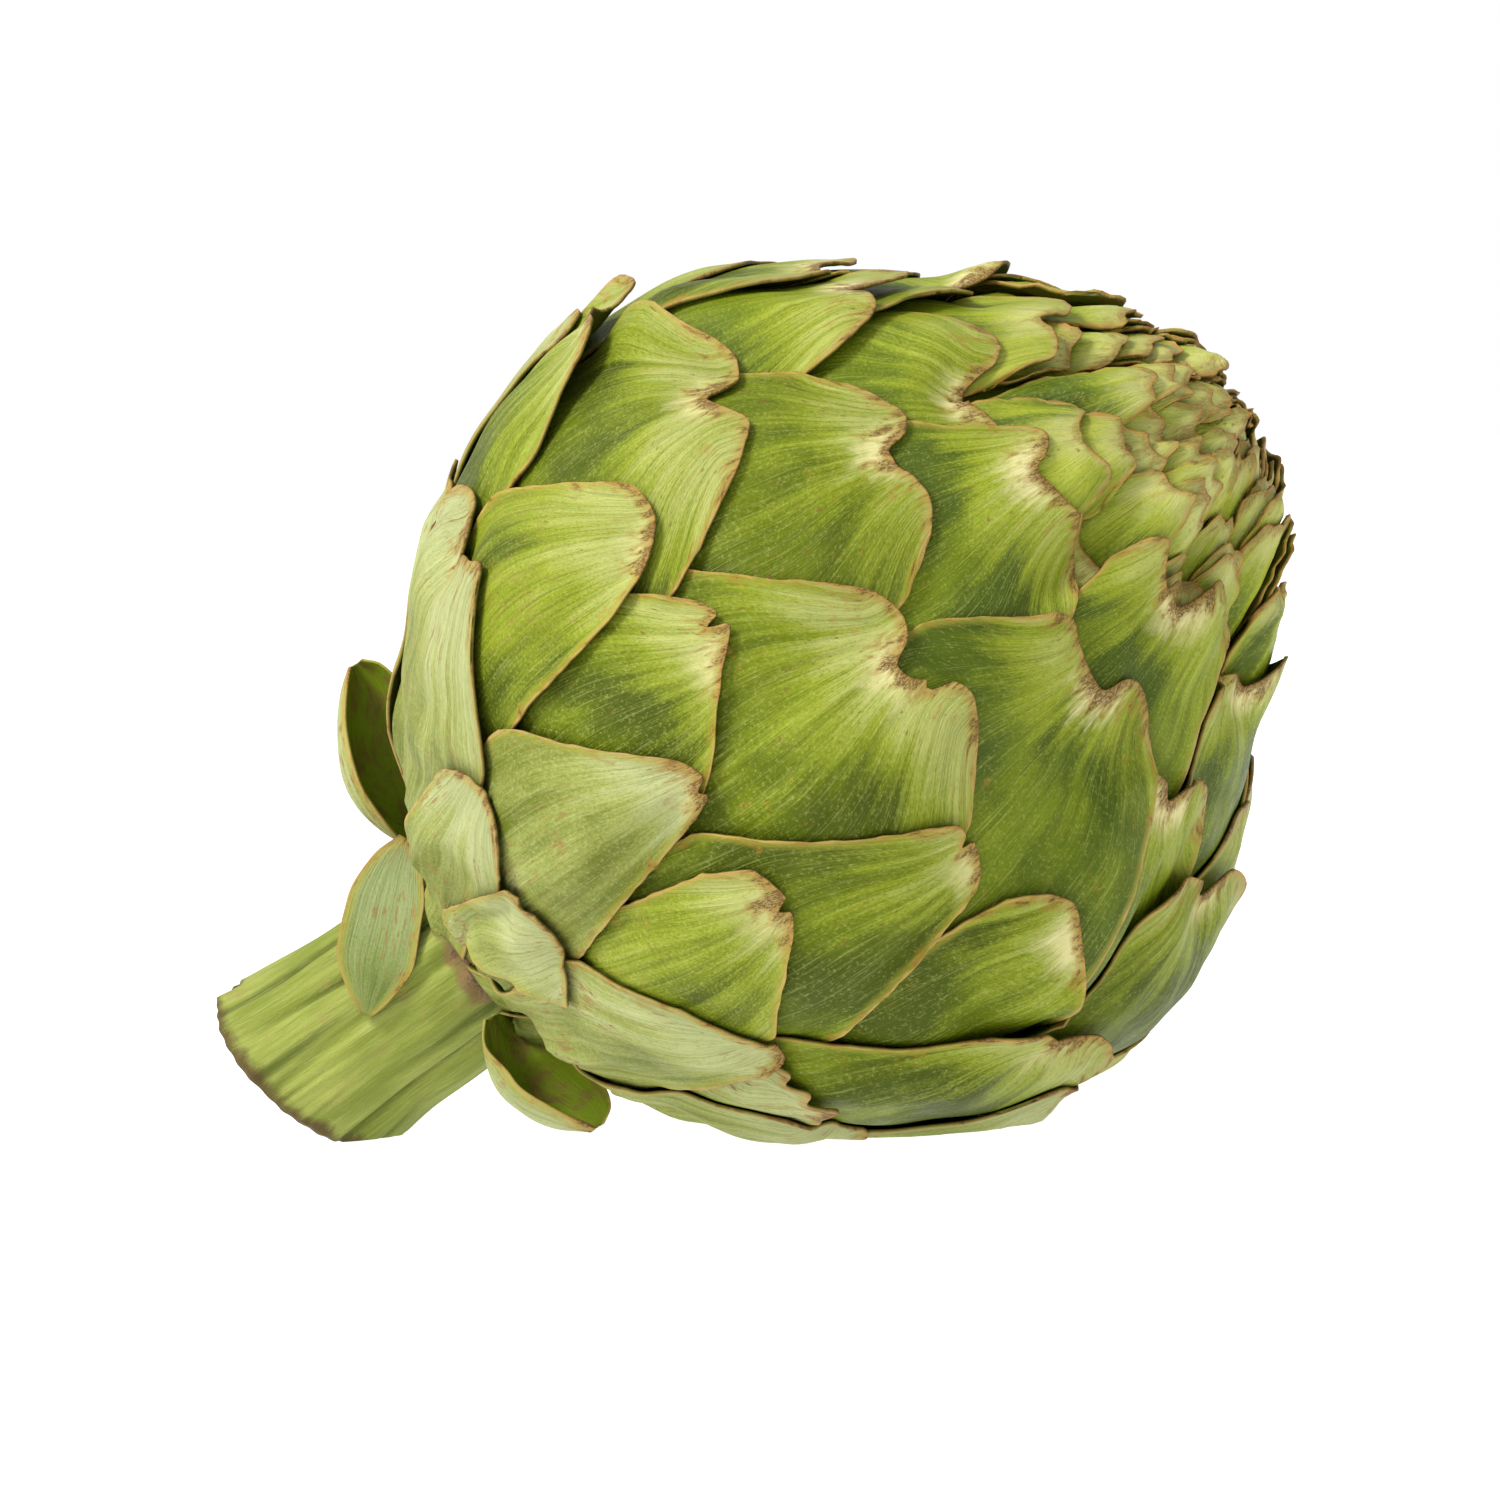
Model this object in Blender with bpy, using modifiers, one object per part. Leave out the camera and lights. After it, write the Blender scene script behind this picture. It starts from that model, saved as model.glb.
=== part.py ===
"""Globe artichoke, cut with a short length of stem and lying on its side.

Every bract (the leaf-like scales of the head) is its own piece. They stand on
the heart in one continuous spiral, a golden angle apart, and each one lies
inside the bracts that come before it. The heart and the stem grew as one
piece. The youngest bracts, still packed together at the top, are one piece.

The head is built along its own axis (local +Z from the stem to the top of the
bud, azimuth 0 on the underside) and then laid down: local +Z leans TILT above
the surface, so that the cut end of the stem and the underside of the head rest
on it. Metres, +Z up, origin at the bottom centre of the whole object.
"""
import math

import bmesh
import bpy
import numpy as np
from mathutils import Matrix, Vector

MM = 0.001

# ---- driving dimensions, millimetres and degrees -------------------------
HEAD_RADIUS = 53.0          # widest half width of the head
HEAD_HEIGHT = 113.0         # from the stem joint to the top of the bud
STEM_RADIUS = 12.0
STEM_LENGTH = 33.5          # from the joint to the middle of the cut
STEM_CUT_SLANT = -12.0      # the knife went across at a slant, shorter on the underside
HEART_RADIUS = 25.0         # the fleshy disc that carries the bracts
HEART_TOP = 13.0

GOLDEN_ANGLE = 137.508      # turn from one bract to the next
SPIRAL_PHASE = 64.0         # azimuth of bract number 0
FIRST_BRACT = -1            # the lowest small bract
LAST_BRACT = 53             # later ones are the packed young bracts
TIP_START = 28.0            # station of bract 0's tip above the joint
TIP_STEP = 1.728            # climb of the tips per bract at the bottom
TIP_EASE = 0.008            # and how that climb slows towards the top
SHELL_STEP = 0.24           # how much deeper each next bract lies
SHELL_GROW = 0.0055         # and how that grows with the depth
PROUD = 1.3                 # a long tip stands at most this far off the head

TIP_THICK = 0.55            # bract thickness at the tip
BASE_THICK = 0.85           # and at the fleshy foot
GAP = 0.3                   # clear space between touching pieces
COLS, ROWS = 6, 7           # facets across and along a bract
PRESS = 1.1                 # how far the head's underside is pressed flat
STEM_PRESS = 0.35           # and the rim of the stem's cut

# The outline of the head: (station, radius) from the joint to the top.
HEAD_OUTLINE = [(0, 12), (3, 20.5), (10, 31.5), (20, 41), (34, 49.5), (50.4, HEAD_RADIUS), (64, 51),
                (75, 45.5), (85, 37.8), (95, 28.5), (103, 19), (108, 12.5), (111, 7), (HEAD_HEIGHT, 0)]

# Half width of a bract (mm) along the spiral: (number, half width).
HALF_WIDTHS = [(-1, 7.5), (3, 11.5), (12, 13.0), (20, 15.0), (28, 19.0), (34, 22.0), (44, 20.0), (53, 16.0)]

SLENDER = {4: 7.6}          # a bract that stayed narrow

# No two bracts grow alike. Number: (turn in degrees, rise of the tip in mm)
# away from the spiral's rule.
GROWTH = {
    -1: (2, -1), 2: (-1, 0), 4: (9, -7), 7: (10, -1), 9: (11, -4), 10: (-1, 8), 12: (6, 7), 15: (-2, -14),
    17: (6, 8), 20: (1, -5), 22: (-3, -2), 23: (-6, -3), 25: (2, -1), 28: (-6, 3), 30: (2, -1), 31: (-5, 5),
    33: (1, 2), 35: (-8, 1), 36: (-9, -6), 38: (0, 5), 41: (6, 6), 43: (-11, -3), 44: (-10, -2), 46: (-5, 7),
    49: (-6, 9), 51: (-7, 0), 52: (-4, 1),
}

# The two loose bracts, from base to tip.
LOOSE_UPPER = ((-12.3, -2.2, -2.6), (-35.0, -6.2, 1.2))
LOOSE_LOWER = ((10.6, -10.3, -3.2), (26.6, -8.2, -0.4))

# ---- clean start ----------------------------------------------------------
for old in list(bpy.data.objects):
    bpy.data.objects.remove(old, do_unlink=True)
for old in list(bpy.data.collections):
    bpy.data.collections.remove(old)
scene = bpy.context.scene
PARTS = bpy.data.collections.new("artichoke")
CUTTERS = bpy.data.collections.new("cutters")
scene.collection.children.link(PARTS)
scene.collection.children.link(CUTTERS)

root = bpy.data.objects.new("artichoke_axis", None)
root.empty_display_size = 0.03
PARTS.objects.link(root)


# ---- curves through control points ---------------------------------------
def slopes(x, y):
    """Slopes for a smooth curve that never overshoots its points."""
    h, d = np.diff(x), np.diff(y) / np.diff(x)
    m = np.zeros(len(x))
    m[0], m[-1] = d[0], d[-1]
    for k in range(1, len(x) - 1):
        if d[k - 1] * d[k] > 0:
            w1, w2 = 2 * h[k] + h[k - 1], h[k] + 2 * h[k - 1]
            m[k] = (w1 + w2) / (w1 / d[k - 1] + w2 / d[k])
    return m


def curve(points):
    """A smooth function through (x, y) points, level beyond both ends."""
    x = np.array([p[0] for p in points], float)
    y = np.array([p[1] for p in points], float)
    m = slopes(x, y)

    def value(at):
        at = min(max(at, x[0]), x[-1])
        k = min(int(np.searchsorted(x, at, side="right")) - 1, len(x) - 2)
        h = x[k + 1] - x[k]
        t = (at - x[k]) / h
        return ((1 + 2 * t) * (1 - t) ** 2 * y[k] + t * (1 - t) ** 2 * h * m[k]
                + t * t * (3 - 2 * t) * y[k + 1] + t * t * (t - 1) * h * m[k + 1])
    return value


head_radius = curve(HEAD_OUTLINE)
half_width = curve(HALF_WIDTHS)
# the blade widens to the middle and narrows to the blunt, lobed tip
blade_width = curve([(0.0, 0.55), (0.3, 0.78), (0.6, 1.0), (0.8, 0.90), (0.93, 0.62), (1.0, 0.40)])
HEART_FLANK = [(-1.5, 12.0), (0.0, 13.0), (3.0, 17.0), (6.0, 21.5), (9.0, HEART_RADIUS), (11.3, 24.5), (12.7, 21.0)]
heart_radius = curve(HEART_FLANK)


# ---- the spiral -----------------------------------------------------------
def tip_rule(n):
    return TIP_START + TIP_STEP * n - TIP_EASE * n * n


def tip_number(z):
    """The bract whose tip is at this station."""
    if z <= TIP_START - 5.3:
        return -3.0
    return (TIP_STEP - math.sqrt(TIP_STEP ** 2 - 4 * TIP_EASE * (z - TIP_START))) / (2 * TIP_EASE)


def depth(n, z):
    """How far bract n lies inside the outline of the head at a station."""
    k = n - tip_number(z)
    if k < 0:
        return -PROUD * (1 - math.exp(SHELL_STEP * k / PROUD))
    return SHELL_STEP * k + SHELL_GROW * k * k


def azimuth(n):
    return SPIRAL_PHASE + GOLDEN_ANGLE * n + GROWTH.get(n, (0, 0))[0]


def tip_station(n):
    return tip_rule(n) + GROWTH.get(n, (0, 0))[1]


def foot(n):
    """Station of the foot: the lowest place on its shell that clears the heart."""
    z = 2.6
    while z < HEART_TOP + GAP + 0.3:
        if head_radius(z) - depth(n, z) > heart_radius(z) + GAP + BASE_THICK + 0.7:
            return z
        z += 0.1
    return HEART_TOP + GAP + 0.3


def shell_radius(n, z):
    """Radius of bract n's outer face at a station."""
    return max(head_radius(z) - depth(n, z), 3.5)


# ---- pieces ---------------------------------------------------------------
def principled(name, colour, rough, metallic=0.0):
    m = bpy.data.materials.new(name)
    m.use_nodes = True
    b = m.node_tree.nodes["Principled BSDF"]
    b.inputs["Base Color"].default_value = (*colour, 1.0)
    b.inputs["Roughness"].default_value = rough
    b.inputs["Metallic"].default_value = metallic
    m.diffuse_color = (*colour, 1.0)
    return m


def add(name, mesh, material):
    mesh.materials.append(material)
    obj = bpy.data.objects.new(name, mesh)
    PARTS.objects.link(obj)
    obj.parent = root
    return obj


def sheet_object(name, place, cols, rows, material, thick, flesh):
    """A grid moved to place(u, v) as an open sheet, then made solid inward.

    u runs across from -1 to 1 and v along from 0 (foot) to 1 (tip). The
    thickness is thick * flesh(v).
    """
    bm = bmesh.new()
    bmesh.ops.create_grid(bm, x_segments=cols, y_segments=rows, size=1.0)
    weights = []
    for vert in bm.verts:
        u, t = vert.co.x, (vert.co.y + 1) / 2
        v = 1 - (1 - t) ** 1.15
        weights.append(flesh(v))
        vert.co = place(u, v)
    mesh = bpy.data.meshes.new(name)
    bm.to_mesh(mesh)
    bm.free()
    obj = add(name, mesh, material)
    group = obj.vertex_groups.new(name="flesh")
    for k, w in enumerate(weights):
        group.add([k], w, "REPLACE")
    solid = obj.modifiers.new("flesh", "SOLIDIFY")
    solid.thickness = thick * MM
    solid.offset = -1.0
    solid.vertex_group = group.name
    mesh.shade_smooth()
    mesh.set_sharp_from_angle(angle=math.radians(45))
    return obj


def bract(n):
    z0, z1 = foot(n), tip_station(n)
    az, w = azimuth(n), SLENDER.get(n) or half_width(n)
    # length along the blade against station, to space the rows evenly
    stations = np.linspace(z0, z1, 60)
    radii = np.array([shell_radius(n, z) for z in stations])
    run = np.concatenate([[0], np.cumsum(np.hypot(np.diff(stations), np.diff(radii)))])

    def place(u, v):
        along = v * (1 - 0.10 * abs(u) ** 2.5 * v ** 2)
        z = float(np.interp(along * run[-1], run, stations))
        r = shell_radius(n, z)
        across = min(w * blade_width(along) / max(r, 6.0), math.radians(39))
        a = math.radians(az) + u * across
        # the margins hug the bract beneath
        return Vector((r * math.cos(a), r * math.sin(a), z)) * MM

    young = (n - FIRST_BRACT) / (LAST_BRACT - FIRST_BRACT)
    tone = (0.16 + 0.05 * young, 0.28 + 0.06 * young, 0.05)
    mat = principled(f"bract_green_{n + 2:02d}", tone, 0.55)
    return sheet_object(f"bract_{n + 2:02d}", place, COLS, ROWS, mat, BASE_THICK,
                        lambda v: 1 - (1 - TIP_THICK / BASE_THICK) * min(1, v * 1.25))


def turned(name, profile, material, segments):
    """A turned solid: the profile runs from the axis at the top down its
    outer side to the axis at the bottom."""
    mesh = bpy.data.meshes.new(name)
    mesh.from_pydata([(r * MM, 0, z * MM) for z, r in profile], [(k, k + 1) for k in range(len(profile) - 1)], [])
    obj = add(name, mesh, material)
    screw = obj.modifiers.new("turn", "SCREW")
    screw.steps = screw.render_steps = segments
    screw.use_merge_vertices = True
    screw.merge_threshold = 0.00002
    screw.use_smooth_shade = True
    return obj


def box_cutter(name, size, matrix):
    mesh = bpy.data.meshes.new(name)
    bm = bmesh.new()
    bmesh.ops.create_cube(bm, size=1.0)
    bmesh.ops.scale(bm, vec=size, verts=bm.verts)
    bm.to_mesh(mesh)
    bm.free()
    obj = bpy.data.objects.new(name, mesh)
    obj.matrix_world = matrix
    obj.hide_render = True
    obj.display_type = "WIRE"
    CUTTERS.objects.link(obj)
    return obj


def cut(obj, cutter):
    mod = obj.modifiers.new(cutter.name, "BOOLEAN")
    mod.operation = "DIFFERENCE"
    mod.solver = "EXACT"
    mod.object = cutter
    return mod


def build_heart():
    """The stem and the disc-shaped heart that every bract grows from."""
    end = -STEM_LENGTH - 3.0
    outer = [(HEART_TOP, 0.0), (HEART_TOP, 15.0)] + HEART_FLANK[::-1] + [
        (-8.0, 11.7), (-16.0, 11.6), (-24.0, 11.8), (-30.0, STEM_RADIUS), (end, STEM_RADIUS), (end, 0.0)]
    obj = turned("stem_and_heart", outer, principled("stem_green", (0.24, 0.36, 0.10), 0.6), 28)
    # the knife's cut, a little shorter on the underside
    slant = Matrix.Rotation(math.radians(STEM_CUT_SLANT), 4, "Y")
    block = box_cutter("stem_cut", (0.06, 0.06, 0.02), Matrix.Translation((0, 0, -STEM_LENGTH * MM)) @ slant @ Matrix.Translation((0, 0, -0.01)))
    block.parent = root
    cut(obj, block)
    return obj


def build_bud():
    """The youngest bracts, packed into one bud with a drawn-in foot."""
    n = LAST_BRACT + 1.5
    bud_neck = curve([(HEART_TOP, 3.5), (45, 9), (62, 16), (74, 26), (84, 60)])
    profile = [(HEAD_HEIGHT, 0.0)]
    for z in (111.5, 108.0, 103.0, 98.0, 92.0, 85.0, 76.0, 66.0, 54.0, 42.0, 30.0, 20.0, HEART_TOP + GAP + 0.3):
        skin = head_radius(z) - max(depth(n, z), 0.0)
        inside = skin - (BASE_THICK + GAP + 0.5) * min(1.0, max(0.0, (100 - z) / 8.0))
        neck = bud_neck(z)
        profile.append((z, min(inside, neck)))
    profile.append((HEART_TOP + GAP + 0.3, 0.0))
    return turned("inner_bud", profile, principled("bud_green", (0.33, 0.42, 0.12), 0.55), 24)


def blade(name, spine, width, material, thick=0.8, cols=4, rows=5):
    """A free leaf. spine(v) gives a point of its middle line, the directions
    across and upward there, and how far its margins curl up."""
    def place(u, v):
        here, side, up, cup = spine(v)
        w = width(v)
        return (here + side * (u * w * math.cos(cup * abs(u))) + up * (w * math.sin(cup) * u * u)) * MM
    return sheet_object(name, place, cols, rows, material, thick, lambda v: 1 - 0.35 * v)


def radial(az_deg):
    a = math.radians(az_deg)
    return Vector((math.cos(a), math.sin(a), 0)), Vector((-math.sin(a), math.cos(a), 0))


def build_loose():
    """Two lowest bracts that have come away and curl outwards at the stem,
    and the small leaf that grows from the stem."""
    green = principled("loose_green", (0.14, 0.24, 0.06), 0.55)
    blue = principled("leaf_green", (0.17, 0.27, 0.12), 0.6)
    shape = curve([(0, 0.45), (0.4, 1.0), (0.75, 0.8), (1.0, 0.2)])

    def curled(name, base, tip, half, sag, lean):
        """A blade from base to tip, flat where it grows from the joint and
        then cupped; lean turns its hollow sideways."""
        base, tip = Vector(base), Vector(tip)
        run = Vector((tip.x - base.x, tip.y - base.y, 0)).normalized()
        level, top = Vector((-run.y, run.x, 0)), Vector((0, 0, 1))

        def spine(v):
            grown = min(1.0, v / 0.4)
            turn = math.radians(lean) * grown
            c, s = math.cos(turn), math.sin(turn)
            here = base.lerp(tip, v) - top * (sag * math.sin(math.pi * v))
            return here, level * c + top * s, top * c - level * s, 0.15 + 0.8 * grown
        return blade(name, spine, lambda v: half * shape(v), green)

    curled("loose_bract_upper", LOOSE_UPPER[0], LOOSE_UPPER[1], 8.0, 4.3, -36)
    curled("loose_bract_lower", LOOSE_LOWER[0], LOOSE_LOWER[1], 7.4, 4.2, 20)

    across = (radial(-80)[1] * 0.68 + Vector((0, 0, 0.73))).normalized()

    def spine(v):
        out = radial(-84 - 58 * v)[0]
        r = STEM_RADIUS + 0.9 + 2.6 * v + 1.6 * v * v
        return out * r + Vector((0, 0, -16.0 + 14.5 * v)), across, out * -1.0, 0.15
    blade("stem_leaf", spine, lambda v: 4.7 * shape(v), blue, thick=0.6)


build_heart()
build_bud()
for number in range(FIRST_BRACT, LAST_BRACT + 1):
    bract(number)
build_loose()


# ---- lay it down ----------------------------------------------------------
def evaluated_points(obj):
    deps = bpy.context.evaluated_depsgraph_get()
    ev = obj.evaluated_get(deps)
    mesh = ev.to_mesh()
    pts = np.empty(len(mesh.vertices) * 3)
    mesh.vertices.foreach_get("co", pts)
    ev.to_mesh_clear()
    pts = pts.reshape(-1, 3)
    m = np.array(obj.matrix_world)
    return pts @ m[:3, :3].T + m[:3, 3]


bpy.context.view_layer.update()
solids = [o for o in PARTS.objects if o.type == "MESH"]
local = {o.name: evaluated_points(o) for o in solids}
stem_points = local["stem_and_heart"]
head_points = np.concatenate([p for name, p in local.items() if name.startswith("bract")])


def lowest(points, tilt):
    """Height of the lowest point when local +Z leans this far up."""
    return float((points[:, 2] * math.sin(tilt) - points[:, 0] * math.cos(tilt)).min())


# the lean at which the stem's end and the head touch the surface together
low, high = math.radians(15), math.radians(50)
for _ in range(50):
    mid = (low + high) / 2
    if lowest(stem_points, mid) + STEM_PRESS * MM > lowest(head_points, mid) + PRESS * MM:
        low = mid
    else:
        high = mid
TILT = (low + high) / 2
FLOOR = lowest(head_points, TILT) + PRESS * MM

# where the head rests, its bracts are pressed to a small flat spot
down = Vector((math.cos(TILT), 0, -math.sin(TILT)))
for obj in solids:
    if obj.name.startswith("bract"):
        for vert in obj.data.vertices:
            under = vert.co.dot(down) + FLOOR
            if under > 0:
                vert.co -= down * under
        obj.data.update()

root.rotation_euler = (0, math.pi / 2 - TILT, 0)
bpy.context.view_layer.update()
cloud = np.concatenate([evaluated_points(o) for o in solids])
middle = (cloud.min(axis=0) + cloud.max(axis=0)) / 2
root.location = (-middle[0], -middle[1], -FLOOR)
bpy.context.view_layer.update()

# and the rim of the stem's cut is pressed flat too
table = box_cutter("rest_plane", (0.3, 0.3, 0.02), Matrix.Translation((0, 0, -0.01)))
cut(bpy.data.objects["stem_and_heart"], table)
bpy.context.view_layer.update()
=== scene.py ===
"""Looks of the globe artichoke.

Every bract is a cupped blade with its own outline. The blades are laid down
from the innermost to the outermost, each one draped on those beneath it, so
that its margins lie on its neighbours. The head is shaped in its own frame, in
millimetres (local +Z from the stem joint to the top of the bud, azimuth 0 on
the underside), and then laid down as the CAD model lies.
"""
import math

import bpy
import numpy as np
from mathutils import Matrix, Vector


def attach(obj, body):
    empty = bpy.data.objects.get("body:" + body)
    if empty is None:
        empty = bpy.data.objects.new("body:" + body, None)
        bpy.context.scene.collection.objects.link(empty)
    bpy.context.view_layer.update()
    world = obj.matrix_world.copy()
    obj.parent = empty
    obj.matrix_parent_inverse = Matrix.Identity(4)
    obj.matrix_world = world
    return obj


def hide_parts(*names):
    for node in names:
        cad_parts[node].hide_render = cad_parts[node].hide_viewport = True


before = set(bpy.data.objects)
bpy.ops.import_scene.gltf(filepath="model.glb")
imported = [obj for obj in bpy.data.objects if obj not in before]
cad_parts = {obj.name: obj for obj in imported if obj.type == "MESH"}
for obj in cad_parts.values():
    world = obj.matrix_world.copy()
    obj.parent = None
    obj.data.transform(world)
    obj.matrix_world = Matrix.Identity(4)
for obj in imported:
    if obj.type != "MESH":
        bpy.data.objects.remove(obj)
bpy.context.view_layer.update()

MM = 0.001
TILT = math.radians(28.62146657614778)
ROOT = np.array([-31.69843927025795, 0.6340071558952332, 25.00901184976101])
CT, ST = math.cos(TILT), math.sin(TILT)
LAY = np.array([[ST, 0, CT], [0, 1, 0], [-CT, 0, ST]])

# ---- the head's layout, as in the CAD model (mm, degrees) ------------------
HEAD_HEIGHT = 113.0
HEAD_OUTLINE = [(0, 12), (3, 20.5), (10, 31.5), (20, 41), (34, 49.5), (50.4, 53.0), (64, 51),
                (75, 45.5), (85, 37.8), (95, 28.5), (103, 19), (108, 12.5), (111, 7), (HEAD_HEIGHT, 0)]
HALF_WIDTHS = [(-1, 7.5), (3, 11.5), (12, 13.0), (20, 15.5), (28, 19.5), (34, 23.0), (44, 21.5), (53, 17.0), (64, 11.5)]
SLENDER = {4: 7.6}
HEART_TOP, HEART_RADIUS, GAP, BASE_THICK = 13.0, 25.0, 0.3, 0.85
HEART_FLANK = [(-1.5, 12.0), (0.0, 13.0), (3.0, 17.0), (6.0, 21.5), (9.0, HEART_RADIUS), (11.3, 24.5), (12.7, 21.0)]
GOLDEN_ANGLE, SPIRAL_PHASE = 137.508, 64.0
FIRST_BRACT, LAST_BRACT, LAST_LARGE, LAST_YOUNG = -1, 53, 58, 136
TIP_START, TIP_STEP, TIP_EASE = 28.0, 1.728, 0.008
SHELL_STEP, SHELL_GROW, PROUD = 0.24, 0.0055, 1.3
GROWTH = {
    -1: (2, -1), 2: (-1, 0), 4: (9, -7), 7: (10, -1), 9: (11, -4), 10: (-1, 8), 12: (6, 7), 15: (-2, -14),
    17: (6, 8), 20: (1, -5), 22: (-3, -2), 23: (-6, -3), 25: (2, -1), 28: (-6, 3), 30: (2, -1), 31: (-5, 5),
    33: (1, 2), 35: (-8, 1), 36: (-9, -6), 38: (0, 5), 41: (6, 6), 43: (-11, -3), 44: (-10, -2), 46: (-5, 7),
    49: (-6, 9), 51: (-7, 0), 52: (-4, 1), 56: (3, 1), 57: (-8, 0), 59: (-7, 1.5), 61: (-4, -3), 64: (-3, -1),
}


def curve(points):
    """A smooth function through (x, y) points that never overshoots, level beyond both ends."""
    x = np.array([p[0] for p in points], float)
    y = np.array([p[1] for p in points], float)
    h, d = np.diff(x), np.diff(y) / np.diff(x)
    m = np.zeros(len(x))
    m[0], m[-1] = d[0], d[-1]
    for k in range(1, len(x) - 1):
        if d[k - 1] * d[k] > 0:
            w1, w2 = 2 * h[k] + h[k - 1], h[k] + 2 * h[k - 1]
            m[k] = (w1 + w2) / (w1 / d[k - 1] + w2 / d[k])

    def value(at):
        at = np.clip(np.asarray(at, float), x[0], x[-1])
        k = np.clip(np.searchsorted(x, at, side="right") - 1, 0, len(x) - 2)
        g = x[k + 1] - x[k]
        t = (at - x[k]) / g
        return ((1 + 2 * t) * (1 - t) ** 2 * y[k] + t * (1 - t) ** 2 * g * m[k]
                + t * t * (3 - 2 * t) * y[k + 1] + t * t * (t - 1) * g * m[k + 1])
    return value


def smooth(a, lo, hi):
    t = np.clip((np.asarray(a, float) - lo) / (hi - lo), 0, 1)
    return t * t * (3 - 2 * t)


head_radius = curve(HEAD_OUTLINE)
half_width = curve(HALF_WIDTHS)
heart_radius = curve(HEART_FLANK)

# the outline by its length from the stem joint
OUT_T = np.sqrt(np.linspace(0, 1, 5000))            # finer towards the top
OUT_Z = HEAD_HEIGHT * OUT_T
OUT_R = head_radius(OUT_Z)
OUT_S = np.concatenate([[0], np.cumsum(np.hypot(np.diff(OUT_Z), np.diff(OUT_R)))])
S_TOP = OUT_S[-1]
# and by its angle about the middle of the head
MIDDLE = 50.0
YOUNG_REACH = 24.0                                     # how far down from the top the small bracts begin
OUT_TH = np.arctan2(OUT_R, OUT_Z - MIDDLE)[::-1]    # from 0 at the top
OUT_RHO = np.hypot(OUT_R, OUT_Z - MIDDLE)[::-1]


def run_at(z):
    return np.interp(z, OUT_Z, OUT_S)


def head_rho(th):
    inside = np.interp(th, OUT_TH, OUT_RHO)
    flat = MIDDLE / np.maximum(-np.cos(th), 0.3)
    return np.where(th > OUT_TH[-1], flat, inside)


def tip_rule(n):
    return TIP_START + TIP_STEP * n - TIP_EASE * n * n


def tip_number(z):
    z = np.asarray(z, float)
    inner = np.maximum(TIP_STEP ** 2 - 4 * TIP_EASE * (z - TIP_START), 0.0)
    return np.where(z <= TIP_START - 5.3, -3.0, (TIP_STEP - np.sqrt(inner)) / (2 * TIP_EASE))


def depth(n, z):
    k = n - tip_number(z)
    return np.where(k < 0, -PROUD * (1 - np.exp(np.minimum(SHELL_STEP * k / PROUD, 0))), 0.8 * (SHELL_STEP * k + SHELL_GROW * k * k))


def azimuth(n):
    return SPIRAL_PHASE + GOLDEN_ANGLE * n + GROWTH.get(n, (0, 0))[0]


def tip_station(n):
    return tip_rule(n) + GROWTH.get(n, (0, 0))[1]


def foot(n):
    z = 2.6
    while z < HEART_TOP + GAP + 0.3:
        if head_radius(z) - depth(n, z) > heart_radius(z) + GAP + BASE_THICK + 0.7:
            return z
        z += 0.1
    return HEART_TOP + GAP + 0.3


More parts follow.
